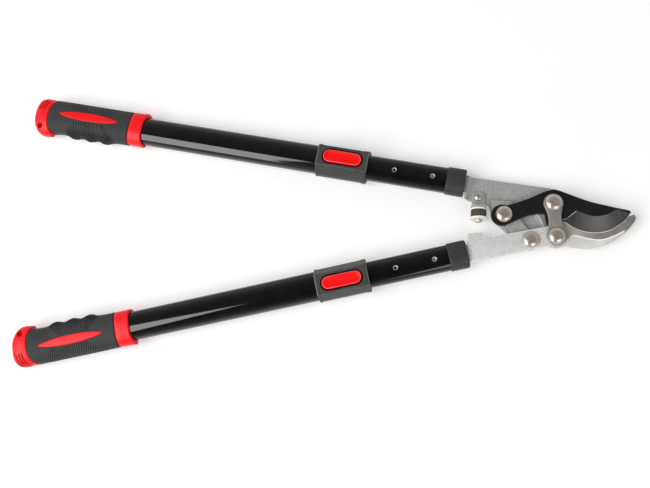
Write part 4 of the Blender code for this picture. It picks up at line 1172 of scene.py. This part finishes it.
def make_grip_core(side, outer):
    """The end cap with its hanging hole and grooves, the wall under the rubber and the flange."""
    profile = smooth(CAP_PROFILE, 10)
    steps = []
    count = 64
    first = 0.15
    last = COVER_START - 1.5 - CAP_END
    for i in range(count + 1):
        offset = first + (last - first) * (i / count) ** 1.4
        saddle = CAP_SADDLE * ramp(offset, 4.0, last)
        outer_half, inner_half, _ = read_table(profile, offset + saddle)
        height = read_table(profile, offset)[2]
        steps.append((CAP_END + offset, outer_half - 0.15, inner_half - 0.15, height, saddle))
    for back, shrink in ((0.9, 0.1), (0.5, 0.35), (GAP, 0.8)):
        section = [size - shrink for size in CAP_PROFILE[-1][1:]]
        steps.append((COVER_START - back, *section, CAP_SADDLE))
    wall = (CORE_SECTION[0], *CORE_SECTION)
    steps += [(COVER_START - GAP, *wall, CAP_SADDLE), (COVER_END + GAP, *wall)]
    steps += [(COVER_END + distance, *section) for distance, *section in FLANGE_PROFILE]
    half, half_height = grown(OUTER_SECTION, GAP)
    bore = (half, half, half_height)
    steps += [(FLANGE_END - 2.3, *bore, FLANGE_PROFILE[-1][-1]), (OUTER_TUBE[0] - GAP, *bore)]

    def tone(middle):
        """1 in the grooves, which take painted shade."""
        depth = groove_depth(middle.x, -side * middle.y, side)
        return 1 if middle.x <= COVER_START - 0.5 and depth > 0.4 * GROOVE_DEPTH else 0

    centre = (HANGING_HOLE[0], -side * HANGING_HOLE[1], 0)
    radius = HANGING_HOLE_RADIUS
    mouth = radius + 1.2
    hole = [(mouth, -20), (mouth, -12.8), (radius, -11.6), (radius, 11.6), (mouth, 12.8), (mouth, 20)]
    body = paint(loft([core_ring(side, *step) for step in steps]), tone)
    cuts = [lathe(hole, at=centre)]
    handle_piece(side, "grip_core", body, ["moulded_red", "groove_red_painted_shade"], outer, "red_plastic", cuts)


def make_handle(side):
    arm = f"{PREFIX[side]}_arm"
    outer = f"{PREFIX[side]}_outer"
    lock_holes = [rod(LOCK_HOLE_RADIUS, 0, 20, at=(x, 0, 0)) for x in LOCK_HOLES]
    make_tube("inner_tube", side, arm, INNER_SECTION, INNER_TUBE, lock_holes)
    make_lock_hole_rims(side, arm)
    cuts = [rod(LOCK_HOLE_RADIUS, 0, 20, at=(LOCK_PIN_X, 0, 0)), rod(1.5, -20, 0, at=(BUTTON_PIN_X, 0, 0))]
    make_tube("outer_tube", side, outer, OUTER_SECTION, OUTER_TUBE, cuts)
    make_ferrule(side, arm)
    make_sleeve(side, outer)
    make_button(side, f"{PREFIX[side]}_button")
    make_button_spring(side, outer)
    make_grip_cover(side, outer)
    make_grip_core(side, outer)
    make_inlays(side, outer)


def finish_carried_over():
    """The CAD nodes that stay get procedural finishes too."""
    finishes = {
        "tang_plug": "moulded_nylon",
        "end_plug": "moulded_nylon",
        "tang_pin": "sprung_steel",
        "button_pin": "blackened_steel",
        "lock_pin": "sprung_steel",
        "sleeve_screw": "zinc_plate",
    }
    for name, thing in frame["nodes"].items():
        for ending, kind in finishes.items():
            if name.endswith(ending):
                thing.data.materials.clear()
                thing.data.materials.append(finish(kind))


# The studio

FOCAL_PIXELS = 750.0
PHOTO_WIDTH = 650.0
CAMERA_OFFSET = Vector((-0.23689, -0.20714, 0.8027))
CAMERA_TURN = [math.radians(degrees) for degrees in (12.715, 7.656, 0.563)]

# The two soft lights, level sheets above the tool: a corner, the two edges from it, and the radiance
LEFT_SHEET = ((-0.705, -0.15, 3.0), (-2.77, 1.14, 0.0), (-1.9, -4.62, 0.0), 5.0)
RIGHT_SHEET = ((0.6, -3.1, 2.4), (1.7, 0.0, 0.0), (0.0, 2.2, 0.0), 2.5)
FLOOR_GLOW = 0.33
WORLD_TILT = math.radians(8.0)
WORLD_STRENGTH = 0.68


def make_camera():
    data = bpy.data.cameras.new("camera")
    data.sensor_width = 36.0
    data.lens = FOCAL_PIXELS * data.sensor_width / PHOTO_WIDTH
    data.clip_start = 0.01
    camera = bpy.data.objects.new("camera", data)
    bpy.context.scene.collection.objects.link(camera)
    camera.location = ORIGIN + CAMERA_OFFSET
    camera.rotation_euler = CAMERA_TURN
    bpy.context.scene.camera = camera


def seen_directly(tree):
    """1 for the rays by which camera, metal and glass see a surface, and 0 for the light it gives off."""
    rays = add(tree, "LightPath")
    total = rays.outputs["Is Camera Ray"]
    for kind in ("Is Glossy Ray", "Is Transmission Ray"):
        total = maths("MAXIMUM", total, rays.outputs[kind])
    return total


def make_floor():
    material = bpy.data.materials.new("pale_floor")
    material.use_nodes = True
    tree = material.node_tree
    shader = tree.nodes["Principled BSDF"]
    drift = spread(noise(add(tree, "TexCoord").outputs["Object"], 3.0), 0.0, 1.0)
    tone = blend_colours(drift, (0.74, 0.74, 0.73), (0.77, 0.77, 0.76))
    glow = maths("MULTIPLY", seen_directly(tree), FLOOR_GLOW)
    fill(shader, Base_Color=tone, Roughness=0.9, Specular_IOR_Level=0.1)
    fill(shader, Emission_Color=(1.0, 1.0, 1.0, 1.0), Emission_Strength=glow)
    body = bmesh.new()
    bmesh.ops.create_grid(body, x_segments=1, y_segments=1, size=3.0)
    floor = raw("floor", body, Matrix.Translation((0, 0, -0.0002)))
    floor.data.materials.append(material)


def sheet_light(name, corner, first, second, radiance):
    """A level rectangle that shines down."""
    corner, first, second = Vector(corner), Vector(first), Vector(second)
    if first.cross(second).z < 0:
        first, second = second, first
    data = bpy.data.lights.new(name, "AREA")
    data.shape = "RECTANGLE"
    data.size = first.length
    data.size_y = second.length
    data.energy = radiance * math.pi * first.length * second.length
    light = bpy.data.objects.new(name, data)
    bpy.context.scene.collection.objects.link(light)
    light.location = corner + (first + second) / 2
    light.rotation_euler = (0.0, 0.0, math.atan2(first.y, first.x))
    light.visible_camera = False


def make_world():
    """White to the camera. To everything else it is dim and warm overhead and bright towards the horizon,
    more so on the far side, because its darkest place is tilted towards the camera."""
    world = bpy.data.worlds.new("studio")
    bpy.context.scene.world = world
    world.use_nodes = True
    tree = world.node_tree
    background = tree.nodes["Background"]
    way = add(tree, "TexCoord").outputs["Generated"]
    darkest = (0.0, -math.sin(WORLD_TILT), math.cos(WORLD_TILT))
    tones = add(tree, "ValToRGB", Fac=maths("DOT_PRODUCT", way, darkest, kind="VectorMath"))
    stops = tones.color_ramp.elements
    stops[0].position = 0.25
    stops[0].color = (1.0, 1.0, 1.0, 1.0)
    stops[1].position = 1.0
    stops[1].color = (0.06, 0.053, 0.047, 1.0)
    for position, colour in ((0.6, (0.5, 0.48, 0.46, 1.0)), (0.9, (0.17, 0.15, 0.135, 1.0))):
        tones.color_ramp.elements.new(position).color = colour
    to_camera = add(tree, "LightPath").outputs["Is Camera Ray"]
    colour = blend_colours(to_camera, tones.outputs["Color"], grey(1.0 / WORLD_STRENGTH))
    fill(background, Color=colour, Strength=WORLD_STRENGTH)


def make_studio():
    make_camera()
    make_floor()
    make_world()
    sheet_light("left_sheet", *LEFT_SHEET)
    sheet_light("right_sheet", *RIGHT_SHEET)
    bpy.context.scene.view_settings.view_transform = "Standard"


def corners(box_pair):
    return [list(corner) for corner in box_pair]


make_studio()
make_blade()
make_hook()
make_link_strap()
make_bolt("jaw_bolt", JAW_PIVOT, LINK_STRAP_Z[1] + GAP, HOOK_Z[0], "hook")
make_bolt("link_bolt", LINK_PIVOT, LINK_STRAP_Z[1] + GAP, HOOK_Z[0], "hook")
make_bolt("tail_bolt", TAIL_PIVOT, BLADE_Z[1] + GAP, BOLT_END_Z, "upper_arm")
make_bolt("fulcrum_bolt", FULCRUM, BLADE_Z[1] + GAP, BOLT_END_Z, "lower_arm")
make_nut("tail_nut", TAIL_PIVOT, "upper_arm")
make_nut("fulcrum_nut", FULCRUM, "lower_arm")
make_upper_plate()
make_lower_plate()
make_spacer_strap()
make_buffer()
make_handle(1)
make_handle(-1)
finish_carried_over()
